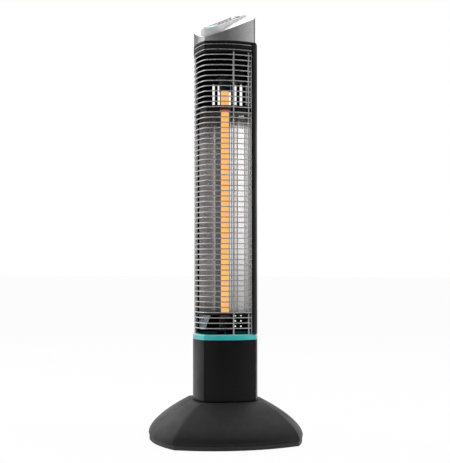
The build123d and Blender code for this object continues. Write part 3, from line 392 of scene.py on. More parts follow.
def silver_paint(name):
    """Silver metallic paint: flakes under a thin clear coat, brighter at polished edges."""
    made, tree, shader = blank(name, 0.30, 0.92, Coat_Weight=0.25, Coat_Roughness=0.1)
    edges = effect(tree, "worn edge", Width=0.7 * MM)
    smudge = effect(tree, "smudges", Size=38.0)["Mask"]
    flake = cells(tree, 2600.0, "Color")
    spark = node(tree, "ShaderNodeSeparateColor", {"Color": flake}).outputs["Red"]
    polished = (0.9, 0.9, 0.9)
    tone = shaded(tree, spark, colours().silver, 0.86, 1.1)
    tone = blend(tree, edges["Mask"], tone, polished)
    gloss = spread(tree, smudge, 0.0, 1.0, 0.26, 0.36)
    skin = bump(tree, spark, 0.02 * MM, 0.35, edges["Normal"])
    feed(tree, shader, Base_Color=tone, Roughness=gloss, Normal=skin)
    return made


def panel_rim_plastic(name):
    """Warm white on the rim's top over the pale grey of its wall, picked by facing; the top's lightness is
    partly its warm white and partly painted highlight.
    """
    made, tree, shader = blank(name, 0.3, Specular_IOR_Level=0.35)
    edges = effect(tree, "worn edge", Width=0.5 * MM)
    grain = effect(tree, "moulded grain", Fineness=2400.0)
    normal = node(tree, "ShaderNodeTexCoord").outputs["Normal"]
    facing = vector_node(tree, "DOT_PRODUCT", normal, panel_out())
    wall = shaded(tree, grain["Mottle"], colours().pod, 0.85, 1.15)
    # Top faces lighter than the wall: partly painted highlight.
    tone = blend(tree, spread(tree, facing, 0.3, 0.6), wall, colours().bezel)
    skin = bump(tree, grain["Height"], 0.02 * MM, 0.5, edges["Normal"])
    feed(tree, shader, Base_Color=tone, Normal=skin)
    return made


def panel_plastic(name):
    """Satin panel with a fine turned pattern across it."""
    made, tree, shader = blank(name, 0.34, 0.35)
    lines = effect(tree, "streaks", Stretch=(60.0, 1500.0, 1500.0))
    edges = effect(tree, "worn edge", Width=0.4 * MM)
    film = effect(tree, "settled dust", Amount=0.15)
    worn, dusty = (0.55, 0.55, 0.55), (0.5, 0.49, 0.48)
    tone = shaded(tree, lines["Shade"], colours().panel, 0.85, 1.15)
    tone = blend(tree, edges["Mask"], tone, worn)
    tone = blend(tree, film["Mask"], tone, dusty)
    skin = bump(tree, lines["Height"], 0.02 * MM, 0.5, edges["Normal"])
    feed(tree, shader, Base_Color=tone, Normal=skin)
    return made


def display_glass(name):
    """Dark tinted glass lit from behind in teal."""
    made, tree, shader = blank(name, 0.08, Coat_Weight=0.6, Coat_Roughness=0.03, Emission_Strength=0.75)
    teal = colours().display
    lamps = bricks(tree, 900.0, scaled(teal, 0.9), teal, scaled(teal, 0.7))
    lit = blend(tree, noise(tree, 60.0, 1.0), scaled(teal, 0.75), lamps["Color"])
    feed(tree, shader, Base_Color=lit, Emission_Color=lit)
    return made


def digit_light(name):
    """Lit numeral segments."""
    made, tree, shader = blank(name, 0.3, Emission_Strength=1.0)
    dim, bright = (0.50, 0.92, 0.92), (0.72, 1.0, 1.0)
    lit = blend(tree, noise(tree, 400.0, 2.0), dim, bright)
    feed(tree, shader, Base_Color=lit, Emission_Color=lit)
    return made


def lit_quartz(name):
    """Frosted quartz filled by the glow: satin, faintly lined, with a slow ripple, dark below the shelf, and
    with painted shade darkening the glow towards the tube's sides.
    """
    made, tree, shader = blank(name, 0.22, Coat_Weight=0.3, Coat_Roughness=0.08, Emission_Strength=1.0)
    shader.inputs["Base Color"].default_value = (0.02, 0.01, 0.006, 1)
    yellow, pale = (1.0, 0.50, 0.16), (1.0, 0.62, 0.28)
    edge, unlit = (0.88, 0.30, 0.07), (0.03, 0.012, 0.006)
    ripple = spread(tree, noise(tree, 40.0, 2.0, own_place(tree, (1, 1, 2.2))), 0.35, 0.65)
    lines = effect(tree, "streaks", Stretch=(2200.0, 2200.0, 30.0))
    lit = blend(tree, ripple, colours().glow, yellow)
    lit = blend(tree, math_node(tree, "MULTIPLY", lines["Shade"], 0.3), lit, pale)
    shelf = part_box("reflector_shelf")[0].z
    height = node(tree, "ShaderNodeSeparateXYZ", {"Vector": own_place(tree)}).outputs["Z"]
    lit = blend(tree, spread(tree, height, shelf, shelf + 2 * MM), unlit, lit)
    # Painted shade: Layer Weight darkens the glow towards the tube's sides.
    rim = node(tree, "ShaderNodeLayerWeight", {"Blend": 0.32}).outputs["Facing"]
    lit = blend(tree, spread(tree, rim, 0.35, 1.0, 0.0, 0.6), lit, edge)
    feed(tree, shader, Emission_Color=lit, Normal=bump(tree, lines["Height"], 0.01 * MM, 0.3))
    return made


def carbon_glow(name):
    """Woven carbon ribbon at working heat."""
    made, tree, shader = blank(name, 0.6, Emission_Strength=1.6)
    thread, gap = (1.0, 0.55, 0.18), (0.95, 0.30, 0.06)
    glow_tone = blend(tree, cells(tree, 1800.0), thread, gap)
    feed(tree, shader, Base_Color=glow_tone, Emission_Color=glow_tone)
    return made


def heated_collar(name):
    """Ceramic collar with a dull red emission where the lamp passes through: a painted glow standing in for
    the lamp's light.
    """
    made, tree, shader = blank(name, 0.55, Emission_Strength=0.5)
    grain = effect(tree, "moulded grain", Fineness=900.0)
    # Painted glow: the collar's red emission stands in for the lamp's light.
    dull, glow_tone = (0.36, 0.055, 0.03), (0.55, 0.13, 0.07)
    tone = blend(tree, grain["Mottle"], dull, glow_tone)
    skin = bump(tree, grain["Height"], 0.1 * MM, 0.6)
    feed(tree, shader, Base_Color=tone, Emission_Color=tone, Normal=skin)
    return made


def zinc_plate(name):
    """Passivated zinc with its faint rainbow."""
    made, tree, shader = blank(name, 0.3, 1.0)
    edges = effect(tree, "worn edge", Width=0.3 * MM, Breaks=600.0)
    drift = noise(tree, 130.0, 3.0)
    blue, yellow = (0.62, 0.64, 0.68), (0.72, 0.68, 0.60)
    gloss = spread(tree, drift, 0.3, 0.7, 0.22, 0.42)
    skin = bump(tree, cells(tree, 700.0), 0.03 * MM, 0.4, edges["Normal"])
    feed(tree, shader, Base_Color=blend(tree, drift, blue, yellow), Roughness=gloss, Normal=skin)
    return made


def circuit_board(name):
    """Green solder mask with tracks and pads showing through."""
    made, tree, shader = blank(name, 0.32, Coat_Weight=0.3, Coat_Roughness=0.15)
    masks = (0.008, 0.10, 0.035), (0.010, 0.13, 0.045), (0.05, 0.24, 0.09)
    tracks = bricks(tree, 420.0, *masks, **{"Mortar Size": 0.09})
    pads, tin = spread(tree, cells(tree, 330.0), 0.16, 0.12), (0.6, 0.6, 0.58)
    tone = blend(tree, pads, tracks["Color"], tin)
    feed(tree, shader, Base_Color=tone, Normal=bump(tree, tracks["Fac"], 0.04 * MM, 0.5))
    return made


# Colour, or the setting that holds it; roughness; grain per metre; depth of the grain and width of a rounded
# edge in millimetres; how worn the edges are; dust; specular level.
MOULDED = {
    "base shell plastic": ("shell", 0.5, 1300.0, 0.08, 0.8, 0.35, 0.08, 0.24),
    "tray plastic": ("tray", 0.55, 1100.0, 0.1, 0.6, 0.5, 0.15, 0.5),
    "column plastic": ("column", 0.34, 1700.0, 0.03, 0.8, 0.4, 0.04, 0.16),
    "housing plastic": ("housing", 0.40, 1600.0, 0.04, 0.8, 0.4, 0.06, 0.2),
    "key plastic": ("key", 0.30, 2600.0, 0.02, 0.4, 0.3, 0.06, 0.5),
    "key mark ink": ((0.05, 0.05, 0.055), 0.5, 3000.0, 0.01, 0.2, 0.2, 0.0, 0.5),
    "socket ceramic": ((0.012, 0.011, 0.010), 0.5, 900.0, 0.08, 0.5, 0.2, 0.05, 0.2),
    "foot rubber": ((0.018, 0.018, 0.018), 0.75, 800.0, 0.12, 0.5, 0.2, 0.2, 0.3),
    "bearing acetal": ((0.72, 0.71, 0.68), 0.4, 1900.0, 0.02, 0.4, 0.15, 0.0, 0.5),
    "ballast iron": ((0.05, 0.047, 0.045), 0.7, 500.0, 0.4, 0.8, 0.6, 0.15, 0.5),
    "component case": ((0.012, 0.012, 0.013), 0.42, 1500.0, 0.04, 0.3, 0.4, 0.1, 0.5),
}
# Colour, or the setting that holds it; roughness; lines per metre along X, Y and Z; shade of the lines.
PLATED = {
    "guard chrome": ("wire", 0.24, (1300.0, 1300.0, 260.0), 0.86),
    "power key metal": ((0.74, 0.74, 0.75), 0.24, (1200.0, 40.0, 40.0), 0.85),
    "shield sheet": ((0.60, 0.68, 0.73), 0.3, (900.0, 900.0, 40.0), 0.88),
}
SPECIAL = {
    make.__name__.replace("_", " "): make
    for make in (
        chamber_paint, teal_lacquer, reflector_aluminium, silver_paint, panel_rim_plastic, panel_plastic,
        display_glass, digit_light, lit_quartz, carbon_glow, heated_collar, zinc_plate, circuit_board,
    )
}


def finish(name):
    """The finish of that name, made when it is first asked for."""
    made = bpy.data.materials.get(name)
    if made is None and name in SPECIAL:
        made = SPECIAL[name](name)
    elif made is None:
        kind, table = (moulded, MOULDED) if name in MOULDED else (plated, PLATED)
        rgb, *values = table[name]
        made = kind(name, getattr(colours(), rgb) if isinstance(rgb, str) else rgb, *values)
    return made


def dress(worn, *names):
    """Puts a finish on CAD nodes through their objects' material slots."""
    for name in names:
        shown = frame["nodes"][name]
        if not shown.material_slots:
            shown.data.materials.append(finish(worn))
        for place in shown.material_slots:
            place.link = "OBJECT"
            place.material = finish(worn)


class Dresser:
    """An operator that only dresses CAD nodes. Its table gives each finish the nodes that wear it."""

    def execute(self, context):
        for worn, names in self.dressed.items():
            dress(worn, *names)
        return {"FINISHED"}


# ---- mesh tools
def placed(name, data):
    """A new object in the scene."""
    made = bpy.data.objects.new(name, data)
    bpy.context.scene.collection.objects.link(made)
    return made


def piece(name, work, finishes, body, replaced=(), smooth_angle=40):
    """A finished piece from its bmesh: smooth up to an angle, riding its body."""
    bmesh.ops.recalc_face_normals(work, faces=work.faces)
    mesh = bpy.data.meshes.new(name)
    work.to_mesh(mesh)
    work.free()
    for worn in finishes:
        mesh.materials.append(finish(worn))
    mesh.polygons.foreach_set("use_smooth", [True] * len(mesh.polygons))
    mesh.set_sharp_from_angle(angle=math.radians(smooth_angle))
    made = placed(name, mesh)
    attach(made, body)
    if replaced:
        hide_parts(*replaced)
    return made


def polar(radius, degrees, centre=(0.0, 0.0)):
    turn = math.radians(degrees)
    return (centre[0] + radius * math.cos(turn), centre[1] + radius * math.sin(turn))


def circle(steps):
    """Cosine and sine of equal turns round a circle."""
    return [(math.cos(index * TAU / steps), math.sin(index * TAU / steps)) for index in range(steps)]


def add_lathe(work, profile, place, steps):
    """Turns a line of (radius, height) points about the Z axis of place. A radius of 0 is one point."""
    rings = []
    for radius, height in profile:
        turns = circle(steps) if radius else [(0, 0)]
        rings.append([work.verts.new(place @ Vector((radius * c, radius * s, height))) for c, s in turns])
    pairs = list(zip(rings, rings[1:]))
    if len(rings[0]) > 1 and len(rings[-1]) > 1:
        pairs.append((rings[-1], rings[0]))
    for low, high in pairs:
        for index in range(steps):
            after = index + 1
            around = ((low, index), (low, after), (high, after), (high, index))
            corners = [ring[turn % len(ring)] for ring, turn in around]
            unique = list(dict.fromkeys(corners))
            if len(unique) > 2:
                work.faces.new(unique)


def add_prism(work, outline, low, high, place, material=0):
    """Raises a flat outline of (x, y) points from low to high in the frame of the matrix place."""
    foot = [work.verts.new(place @ Vector((x, y, low))) for x, y in outline]
    top = [work.verts.new(place @ Vector((x, y, high))) for x, y in outline]
    faces = [work.faces.new(list(reversed(foot))), work.faces.new(top)]
    for index in range(len(outline)):
        after = (index + 1) % len(outline)
        faces.append(work.faces.new([foot[index], foot[after], top[after], top[index]]))
    for face in faces:
        face.material_index = material


def bar(centre, half_length, half_width, degrees=0):
    """Outline of a bar with cut corners."""
    short, thin = half_length - half_width * 0.6, half_width * 0.4
    top = [(half_length, -thin), (half_length, thin), (short, half_width), (-short, half_width)]
    points = top + [(-x, -y) for x, y in top]
    turn = Matrix.Rotation(math.radians(degrees), 2)
    return [tuple(turn @ Vector(point) + Vector(centre)) for point in points]


def band(radius, half_width, start, end, steps=28):
    """Outlines of the steps of a flat band along an arc from start to end, in degrees."""
    turns = [start + (end - start) * index / steps for index in range(steps + 1)]
    outer, inner = radius + half_width, radius - half_width
    for first, second in zip(turns, turns[1:]):
        yield [polar(outer, first), polar(outer, second), polar(inner, second), polar(inner, first)]


def add_tube(work, points, radius, sides=8):
    """A round wire along points, with closed ends."""
    rings = []
    across = (points[1] - points[0]).orthogonal()
    for index, point in enumerate(points):
        ahead = (points[min(index + 1, len(points) - 1)] - points[max(index - 1, 0)]).normalized()
        across = (across - ahead * across.dot(ahead)).normalized()
        beside = ahead.cross(across)
        rings.append([work.verts.new(point + radius * (across * c + beside * s)) for c, s in circle(sides)])
    for low, high in zip(rings, rings[1:]):
        for step in range(sides):
            after = (step + 1) % sides
            work.faces.new([low[step], low[after], high[after], high[step]])
    work.faces.new(list(reversed(rings[0])))
    work.faces.new(rings[-1])


# ---- base, turntable, column, chamber
class HEATER_OT_base(Dresser, bpy.types.Operator):
    """Finishes the dome, its tray, the feet, the ballast, the gland and the tip-over switch"""

    bl_idname = "heater.base"
    bl_label = "Base"
    dressed = {
        "base shell plastic": ("base_front_shell", "base_rear_shell"),
        "tray plastic": ("base_tray", "cord_gland"),
        "foot rubber": ("rubber_feet",),
        "ballast iron": ("ballast_plate",),
        "component case": ("tip_switch_body",),
        "bearing acetal": ("tip_switch_plunger",),
        "zinc plate": ("base_screws", "pedestal_screws"),
    }


class HEATER_OT_turntable(Dresser, bpy.types.Operator):
    """Finishes the pedestal, bearing, spindle, gears and motor"""

    bl_idname = "heater.turntable"
    bl_label = "Turntable"
    dressed = {
        "tray plastic": ("pedestal",),
        "bearing acetal": ("bearing_ring", "retaining_collar", "sector_gear", "drive_pinion"),
        "zinc plate": ("pivot_spindle", "spindle_nut", "swivel_plate", "motor_screws", "oscillation_motor"),
    }


class HEATER_OT_column(Dresser, bpy.types.Operator):
    """Finishes the column covers, the deck, the boards and their parts, and the teal trim ring"""

    bl_idname = "heater.column"
    bl_label = "Column, boards and trim ring"
    dressed = {
        "column plastic": ("column_front_cover", "column_rear_cover"),
        "tray plastic": ("column_deck",),
        "zinc plate": ("column_screws", "housing_screws"),
        "circuit board": ("power_board", "control_board"),
        "component case": ("power_parts", "key_switches", "display_module"),
        "bearing acetal": ("board_standoffs",),
        "teal lacquer": ("trim_ring",),
    }


class HEATER_OT_chamber(Dresser, bpy.types.Operator):
    """Finishes the reflector, the shelf, the baffle, the shield and the rear housing"""

    bl_idname = "heater.chamber"
    bl_label = "Reflector and housing"
    dressed = {
        "reflector aluminium": ("reflector",),
        "chamber paint": ("reflector_shelf", "upper_baffle"),
        "housing plastic": ("rear_housing", "top_collar"),
        "shield sheet": ("lamp_lead_shield",),
    }


# ---- guard
FACE_RADIUS = 112.4 * MM                # plan radius of a bulged face
FACE_OFFSET = 52.9 * MM                 # axis back to the centre of that arc
WELD_INSET = 3.35 * MM                  # skin to the line where rings and posts touch
RING_WIRE = 1.0 * MM                    # radius of a ring's wire
FRONT_FACES = ((225, -1), (315, 1))     # direction of a front face, and which way its posts lie
POST_ANGLES = (3, 19, 22.5)             # degrees from the middle of a face
NUGGET_SHAPE = Matrix.Diagonal((0.62, 1.0, 0.85, 1.0))     # squashed between the wires


def weld_places():
    """Where the posts touch the rings, seen from above: x, y and the way out."""
    for direction, side in FRONT_FACES:
        centre = polar(FACE_OFFSET, direction + 180)
        for turned in POST_ANGLES:
            outward = direction + side * turned
            yield (*polar(FACE_RADIUS - WELD_INSET, outward, centre), outward)


def ring_levels():
    """Heights of the guard rings, from the top one down."""
    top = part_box("wire_guard")[1].z - RING_WIRE
    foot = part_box("trim_ring")[1].z + RING_WIRE
    count = int((top - foot) / sizes().ring_pitch) + 1
    return [top - index * sizes().ring_pitch for index in range(count)]


class HEATER_OT_guard(bpy.types.Operator):
    """Chromes the wire guard and adds the weld nuggets at its crossings"""

    bl_idname = "heater.guard"
    bl_label = "Wire guard"

    def execute(self, context):
        dress("guard chrome", "wire_guard")
        work = bmesh.new()
        for x, y, direction in weld_places():
            turn = Matrix.Rotation(math.radians(direction), 4, "Z") @ NUGGET_SHAPE
            for z in ring_levels():
                place = Matrix.Translation((x, y, z)) @ turn
                bmesh.ops.create_icosphere(work, subdivisions=1, radius=sizes().weld, matrix=place)
        piece("guard_welds", work, ["guard chrome"], "tower", smooth_angle=80)
        return {"FINISHED"}


# ---- lamp
TUBE_WALL = 1.0 * MM
NECK_SHARE = 0.55           # the narrowed end's radius as a share of the tube's
SPIRAL_SHARE = 0.44         # the spiral's radius, likewise
SPIRAL_STEPS = 14           # points in one turn
RIBBON = 1.1 * MM           # radius of the wound carbon
LEAD = 1.0 * MM             # radius of the leads at its ends
COLLAR_LIFT = 1.5 * MM      # reflector's top edge to the collar's level
# Radius and height of the collar's section in millimetres.
COLLAR = ((8.0, -4.0), (9.2, -4.0), (9.5, -3.5), (9.5, 5.8), (9.2, 6.4), (8.0, 6.4))
LATHE_STEPS = 40


def tube_profile(low, high, radius):
    """Outer and inner line of a drawn tube with narrowed ends."""
    pinch = sizes().pinch
    neck = radius * NECK_SHARE
    outer = [(neck, 0.0), (neck, pinch * 0.4), (radius * 0.9, pinch * 0.8), (radius, pinch * 1.2)]
    outer = [(r, low + z) for r, z in outer]
    outer += [(r, low + high - z) for r, z in reversed(outer)]
    return outer + [(r - TUBE_WALL, z) for r, z in reversed(outer)]


def ribbon_turns(low, high, radius):
    """Points of the wound carbon ribbon."""
    turns = (high - low) / sizes().spiral_pitch
    steps = int(turns * SPIRAL_STEPS)
    for share in (index / steps for index in range(steps + 1)):
        turn = TAU * turns * share
        yield Vector((radius * math.cos(turn), radius * math.sin(turn), low + (high - low) * share))


class HEATER_OT_lamp(bpy.types.Operator):
    """Makes the lit tube, its carbon spiral and its collar, and finishes the sockets and brackets"""

    bl_idname = "heater.lamp"
    bl_label = "Lamp"

    def execute(self, context):
        low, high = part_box("lamp_tube")
        socket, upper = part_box("lower_socket")[1].z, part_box("upper_socket")[0].z
        upright = Matrix.Identity(4)
        work = bmesh.new()
        add_lathe(work, tube_profile(low.z, high.z, high.x), upright, LATHE_STEPS)
        lamp = piece("quartz_tube", work, ["lit quartz"], "tower", ["lamp_tube"])
        work = bmesh.new()
        add_tube(work, list(ribbon_turns(socket, upper, high.x * SPIRAL_SHARE)), RIBBON)
        for start, end in ((low.z, socket), (upper, high.z)):
            add_tube(work, [Vector((0, 0, start)), Vector((0, 0, end))], LEAD)
        ribbon = piece("carbon_spiral", work, ["carbon glow"], "tower", ["heating_element"])
        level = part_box("reflector")[1].z + COLLAR_LIFT
        work = bmesh.new()
        add_lathe(work, [(r * MM, level + z * MM) for r, z in COLLAR], upright, LATHE_STEPS)
        collar = piece("lamp_collar", work, ["heated collar"], "tower")
        lamp.visible_glossy = ribbon.visible_glossy = collar.visible_glossy = False
        dress("socket ceramic", "lower_socket", "upper_socket")
        dress("chamber paint", "lower_socket_bracket", "upper_socket_bracket", "thermal_cutout")
        return {"FINISHED"}


# ---- cap and controls
FACE_DEPTH = 0.01 * MM      # what counts as a piece's outer face
BODY_DEPTH = 1.5 * MM       # a key is a plain cylinder down to here
FLANGE_START = 0.3 * MM     # what lies this far outside the body is flange
FLANGE = 1.2 * MM           # reach and thickness of the flange made here
KEY_STEPS = 56
# Raised marks by key, as shares of its radius. Bars: centre, half length, half width, turn in degrees.
DASH = ((0, 0), 0.55, 0.1, 0)
MARK_BARS = {
    "mode_button": [((0, step * 0.42), 0.62 - 0.12 * abs(step), 0.09, 0) for step in (-1, 0, 1)],
    "timer_button": [((0, 0.18), 0.24, 0.07, 90), ((0.14, 0), 0.2, 0.07, 0)],
    "lower_button": [DASH],
    "higher_button": [DASH, ((0, -0.33), 0.22, 0.1, 90), ((0, 0.33), 0.22, 0.1, 90)],
    "power_button": [((0, 0.38), 0.2, 0.05, 90)],
}
# Rings: radius, half width, and half of the opening at the top in degrees.
MARK_RINGS = {"timer_button": (0.6, 0.08, 0), "power_button": (0.40, 0.05, 38)}
SEGMENTS = {2: "abged", 5: "afgcd"}


def panel_out():
    """The way out of the sloping panel, opposite to a key's press."""
    press = next(joint for joint in frame["joints"] if joint["name"] == "power_button_press")
    return -Vector(press["axis"]).normalized()


def on_panel(name):
    """A matrix on the outer face of a panel node: X across, Y up the slope, Z out."""
    out = panel_out()
    across = Vector((1, 0, 0))
    points = [vertex.co for vertex in frame["nodes"][name].data.vertices]
    top = max(point.dot(out) for point in points)
    rim = [point for point in points if point.dot(out) > top - FACE_DEPTH]
    centre = (Vector(map(min, *rim)) + Vector(map(max, *rim))) / 2
    centre += out * (top - centre.dot(out))
    turn = Matrix((across, out.cross(across), out)).transposed().to_4x4()
    return Matrix.Translation(centre) @ turn


def key_shape(name):
    """Radius of a key's body, and how far its flange lies below its top, from its CAD node."""
    local = on_panel(name).inverted()
    points = [local @ vertex.co for vertex in frame["nodes"][name].data.vertices]
    radius = max(point.xy.length for point in points if point.z > -BODY_DEPTH)
    return radius, -max(point.z for point in points if point.xy.length > radius + FLANGE_START)


def key_profile(radius, body):
    """A dished key with a rounded edge and its flange."""
    dish = sizes().dish
    edge = radius * 0.12
    return [
        (0.0, -dish),
        (radius * 0.45, -dish * 0.82),
        (radius * 0.75, -dish * 0.35),
        (radius - edge, 0.0),
        (radius - edge * 0.3, -edge * 0.3),
        (radius, -edge),
        (radius, -body),
        (radius + FLANGE, -body),
        (radius + FLANGE, -body - FLANGE),
        (radius * 0.4, -body - FLANGE),
        (0.0, -body - FLANGE),
    ]


def mark_outlines(name, size):
    """The raised mark of a key, as outlines."""
    if name in MARK_RINGS:
        radius, half_width, opening = MARK_RINGS[name]
        yield from band(radius * size, half_width * size, 90 + opening, 450 - opening)
    for (x, y), half_length, half_width, turned in MARK_BARS[name]:
        yield bar((x * size, y * size), half_length * size, half_width * size, turned)


def numeral_outlines(number, height):
    """The bars of a seven-segment numeral, named a to g from the top round and the middle last."""
    half = height / 2
    reach = half / 2
    thick = height * 0.055
    gap = reach - thick * 1.15
    bars = {
        "a": ((0, half), 0),
        "b": ((reach, reach), 90),
        "c": ((reach, -reach), 90),
        "d": ((0, -half), 0),
        "e": ((-reach, -reach), 90),
        "f": ((-reach, reach), 90),
        "g": ((0, 0), 0),
    }
    return [bar(bars[name][0], gap, thick, bars[name][1]) for name in SEGMENTS[number]]


class HEATER_OT_cap(Dresser, bpy.types.Operator):
    """Finishes the silver cap, the raised panel rim and the panel plate"""

    bl_idname = "heater.cap"
    bl_label = "Cap and panel"
    dressed = {
        "silver paint": ("top_cap",),
        "panel rim plastic": ("panel_bezel",),
        "panel plastic": ("panel_plate",),
    }


class HEATER_OT_keys(bpy.types.Operator):
    """Makes the four small keys and the power key, dished and marked"""

    bl_idname = "heater.keys"
    bl_label = "Keys"

    def execute(self, context):
        dish = sizes().dish
        for name in MARK_BARS:
            place = on_panel(name)
            radius, body = key_shape(name)
            work = bmesh.new()
            add_lathe(work, key_profile(radius, body), place, KEY_STEPS)
            for outline in mark_outlines(name, radius):
                add_prism(work, outline, -dish * 1.2, -dish * 0.1, place, 1)
            bmesh.ops.remove_doubles(work, verts=work.verts, dist=1e-6)
            slot, worn = "button_light", "key plastic"
            if name == "power_button":
                slot, worn = "power_button_silver", "power key metal"
            piece(name + "_key", work, [worn, "key mark ink"], name, [name])
        return {"FINISHED"}


class HEATER_OT_display(bpy.types.Operator):
    """Lights the display and adds its numerals"""

    bl_idname = "heater.display"
    bl_label = "Display"

    def execute(self, context):
        dress("display glass", "display_window")
        place = on_panel("display_window")
        height = sizes().digit
        work = bmesh.new()
        for number, side in ((2, -1), (5, 1)):
            shifted = place @ Matrix.Translation((side * height * 0.42, 0, 0))
            for outline in numeral_outlines(number, height):
                add_prism(work, outline, -0.05 * MM, 0.12 * MM, shifted)
        piece("display_digits", work, ["digit light"], "tower")
        return {"FINISHED"}


# ---- studio
def towards(degrees, distance, height):
    """A point at a compass direction of the plan, X being 0 and Y being 90."""
    return Vector((*polar(distance, degrees), height))


FLOOR = 80.0            # metres across, so that its edge is lost in the backdrop
FLOOR_SHARE = 0.96      # how far the camera sees the floor as backdrop
SENSOR = 36.0           # millimetres wide
CLIP_END = 100.0
AIM_POINT = (0, 0, 0.45)
# Place, width and height of each soft box in metres.
SOFT_BOXES = {
    "left": (towards(192, 2.4, 0.9), 1.6, 2.0),
    "right": (towards(18, 2.4, 0.9), 1.4, 2.0),
    "top": (Vector((0.2, 0.3, 2.6)), 1.6, 1.6),
}
# (compass direction, brightness) stops, foot, top, distance, and the foot's share of the brightness.
CARDS = {
    "high": (((240, 0.6), (262, 0.03), (306, 0.05), (350, 0.35), (380, 0.7), (415, 1.0)), 1.0, 3.6, 2.7, 1.0),
    "low": (((288, 0.6), (294, 0.06), (338, 0.06), (356, 0.45), (395, 0.8)), 0.0, 0.98, 1.3, 1.0),
    "side": (((224, 0.3), (229, 0.03), (243, 0.03), (247, 0.3)), 0.0, 0.98, 1.3, 1.0),
    "left bright": (((150, 1.7), (222, 1.7)), 0.3, 0.98, 1.3, 0.62),
    "front bright": (((249, 1.7), (272, 1.7)), 0.3, 0.98, 1.3, 0.62),
    "rear": (((84, 0.1), (100, 0.02), (152, 0.02), (166, 0.1), (182, 0.5), (196, 1.0)), 1.0, 1.9, 2.7, 1.0),
    "crown": (((80, 2.0), (200, 2.0)), 2.1, 5.4, 2.7, 1.0),
}
CARD_STEPS = 24
WHITE = (1, 1, 1, 1)


def aim(made, target):
    made.rotation_euler = (Vector(target) - made.location).to_track_quat("-Z", "Y").to_euler()


def add_soft_box(name, place, width, height, watts):
    data = bpy.data.lights.new(name, "AREA")
    data.shape = "RECTANGLE"
    data.size = width
    data.size_y = height
    data.energy = watts
    made = placed(name, data)
    made.location = place
    aim(made, AIM_POINT)
    made.visible_camera = False
    made.visible_glossy = False


def add_sheet(name, points, faces):
    """A thin mesh of the studio, which isn't part of the heater."""
    mesh = bpy.data.meshes.new(name)
    mesh.from_pydata(points, [], faces)
    made = placed(name, mesh)
    return made


def add_floor(studio):
    """A pale floor that fades into the backdrop and keeps the object's shadow."""
    half = FLOOR / 2
    corners = [(-half, -half, 0), (half, -half, 0), (half, half, 0), (-half, half, 0)]
    floor = add_sheet("floor", corners, [(0, 1, 2, 3)])
    made, tree, shader = blank("pale floor", 0.9, Specular_IOR_Level=0.0)
    dark, pale = (0.87, 0.87, 0.87), (0.90, 0.90, 0.90)
    feed(tree, shader, Base_Color=blend(tree, noise(tree, 400.0, 2.0), dark, pale))
    glow = node(tree, "ShaderNodeEmission", {"Color": WHITE, "Strength": studio.backdrop})
    seen = node(tree, "ShaderNodeLightPath").outputs["Is Camera Ray"]
    share = math_node(tree, "MULTIPLY", seen, FLOOR_SHARE)
    mixed = node(tree, "ShaderNodeMixShader", {0: share, 1: shader.outputs[0], 2: glow.outputs[0]})
    feed(tree, tree.nodes["Material Output"], Surface=mixed.outputs[0])
    floor.data.materials.append(made)


def add_world(studio):
    """White backdrop for what the camera, metal and glass see, and an even fill for the rest."""
    world = bpy.data.worlds.new("studio")
    world.use_nodes = True
    tree = world.node_tree
    rays = node(tree, "ShaderNodeLightPath").outputs
    seen = math_node(tree, "MAXIMUM", rays["Is Camera Ray"], rays["Is Transmission Ray"])
    seen = math_node(tree, "MAXIMUM", seen, rays["Is Glossy Ray"])
    backdrop = tree.nodes["Background"]
    backdrop.inputs["Color"].default_value = WHITE
    backdrop.inputs["Strength"].default_value = studio.backdrop
    fill = node(tree, "ShaderNodeBackground", {"Color": WHITE, "Strength": studio.fill})
    mixed = node(tree, "ShaderNodeMixShader", {0: seen, 1: fill.outputs[0], 2: backdrop.outputs[0]})
    feed(tree, tree.nodes["World Output"], Surface=mixed.outputs[0])
    bpy.context.scene.world = world


def add_card(name, stops, foot, top, distance, foot_share):
    """A curved card that only reflections see, its brightness running from stop to stop."""
    first, last = stops[0][0], stops[-1][0]
    points, levels = [], []
    for index in range(CARD_STEPS + 1):
        degrees = first + (last - first) * index / CARD_STEPS
        low, high = next(pair for pair in zip(stops, stops[1:]) if degrees <= pair[1][0] + 1e-6)
        level = low[1] + (high[1] - low[1]) * (degrees - low[0]) / (high[0] - low[0])
        points += [towards(degrees, distance, foot), towards(degrees, distance, top)]
        levels += [level * foot_share, level]
    card = add_sheet(name, points, [(2 * n, 2 * n + 2, 2 * n + 3, 2 * n + 1) for n in range(CARD_STEPS)])
    tint = card.data.color_attributes.new("level", "FLOAT_COLOR", "POINT")
    for point, level in zip(tint.data, levels):
        point.color = (level, level, level, 1)
    cloth = bpy.data.materials.new(name + " cloth")
    cloth.use_nodes = True
    tree = cloth.node_tree
    tree.nodes.clear()
    tone = node(tree, "ShaderNodeAttribute", attribute_name="level").outputs["Color"]
    glow = node(tree, "ShaderNodeEmission", {"Color": tone}).outputs[0]
    node(tree, "ShaderNodeOutputMaterial", {"Surface": glow})
    card.data.materials.append(cloth)
    for ray in ("camera", "diffuse", "transmission", "volume_scatter", "shadow"):
        setattr(card, "visible_" + ray, False)


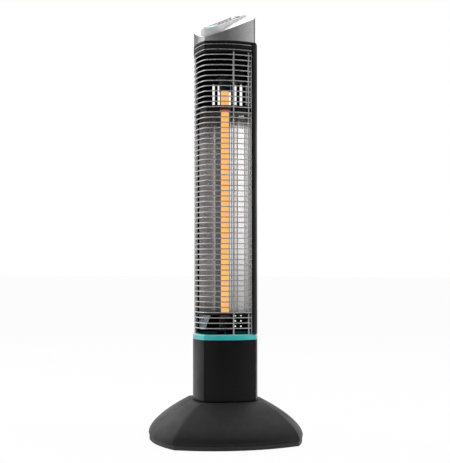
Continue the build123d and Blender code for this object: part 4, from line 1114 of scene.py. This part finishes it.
def add_camera(studio):
    """The camera of the photograph."""
    data = bpy.data.cameras.new("photograph camera")
    data.lens = studio.lens
    data.sensor_width = SENSOR
    data.clip_end = CLIP_END
    camera = placed("photograph camera", data)
    back = Vector((math.sin(studio.azimuth), -math.cos(studio.azimuth), 0))
    camera.location = back * studio.distance + Vector((0, 0, studio.height))
    aim(camera, camera.location - back + Vector((0, 0, math.tan(studio.tilt))))
    bpy.context.scene.camera = camera
    bpy.context.scene.view_settings.view_transform = "Standard"


class HEATER_OT_studio(bpy.types.Operator):
    """Sets the floor, the backdrop, the soft boxes, the cards and the camera of the photograph"""

    bl_idname = "heater.studio"
    bl_label = "Studio"

    def execute(self, context):
        studio = context.scene.heater_studio
        add_floor(studio)
        add_world(studio)
        for side, box in SOFT_BOXES.items():
            add_soft_box(side + " soft box", *box, getattr(studio, side + "_lamp"))
        for side, card in CARDS.items():
            add_card(side + " card", *card)
        add_camera(studio)
        return {"FINISHED"}


# ---- add-on
class HEATER_PT_tower(bpy.types.Panel):
    """Builds and adjusts the heater"""

    bl_idname = "HEATER_PT_tower"
    bl_label = "Tower heater"
    bl_space_type = "VIEW_3D"
    bl_region_type = "UI"
    bl_category = "Heater"

    def draw(self, context):
        for settings in ("heater_colours", "heater_sizes", "heater_studio"):
            group = getattr(context.scene, settings)
            box = self.layout.box()
            for name in group.__annotations__:
                box.prop(group, name)
        for operator in OPERATORS:
            self.layout.operator(operator.bl_idname)


OPERATORS = (
    HEATER_OT_base, HEATER_OT_turntable, HEATER_OT_column, HEATER_OT_guard, HEATER_OT_chamber,
    HEATER_OT_lamp, HEATER_OT_cap, HEATER_OT_display, HEATER_OT_keys, HEATER_OT_studio,
)
GROUPS = {"heater_colours": HeaterColours, "heater_sizes": HeaterSizes, "heater_studio": StudioSettings}


def register():
    for kind in (*GROUPS.values(), *OPERATORS, HEATER_PT_tower):
        bpy.utils.register_class(kind)
    for name, kind in GROUPS.items():
        setattr(bpy.types.Scene, name, PointerProperty(type=kind))


def unregister():
    for name in GROUPS:
        delattr(bpy.types.Scene, name)
    for kind in reversed((*GROUPS.values(), *OPERATORS, HEATER_PT_tower)):
        bpy.utils.unregister_class(kind)


def main():
    register()
    for make in EFFECTS:
        make()
    for operator in OPERATORS:
        group, name = operator.bl_idname.split(".")
        getattr(getattr(bpy.ops, group), name)()


if __name__ == "__main__":
    main()
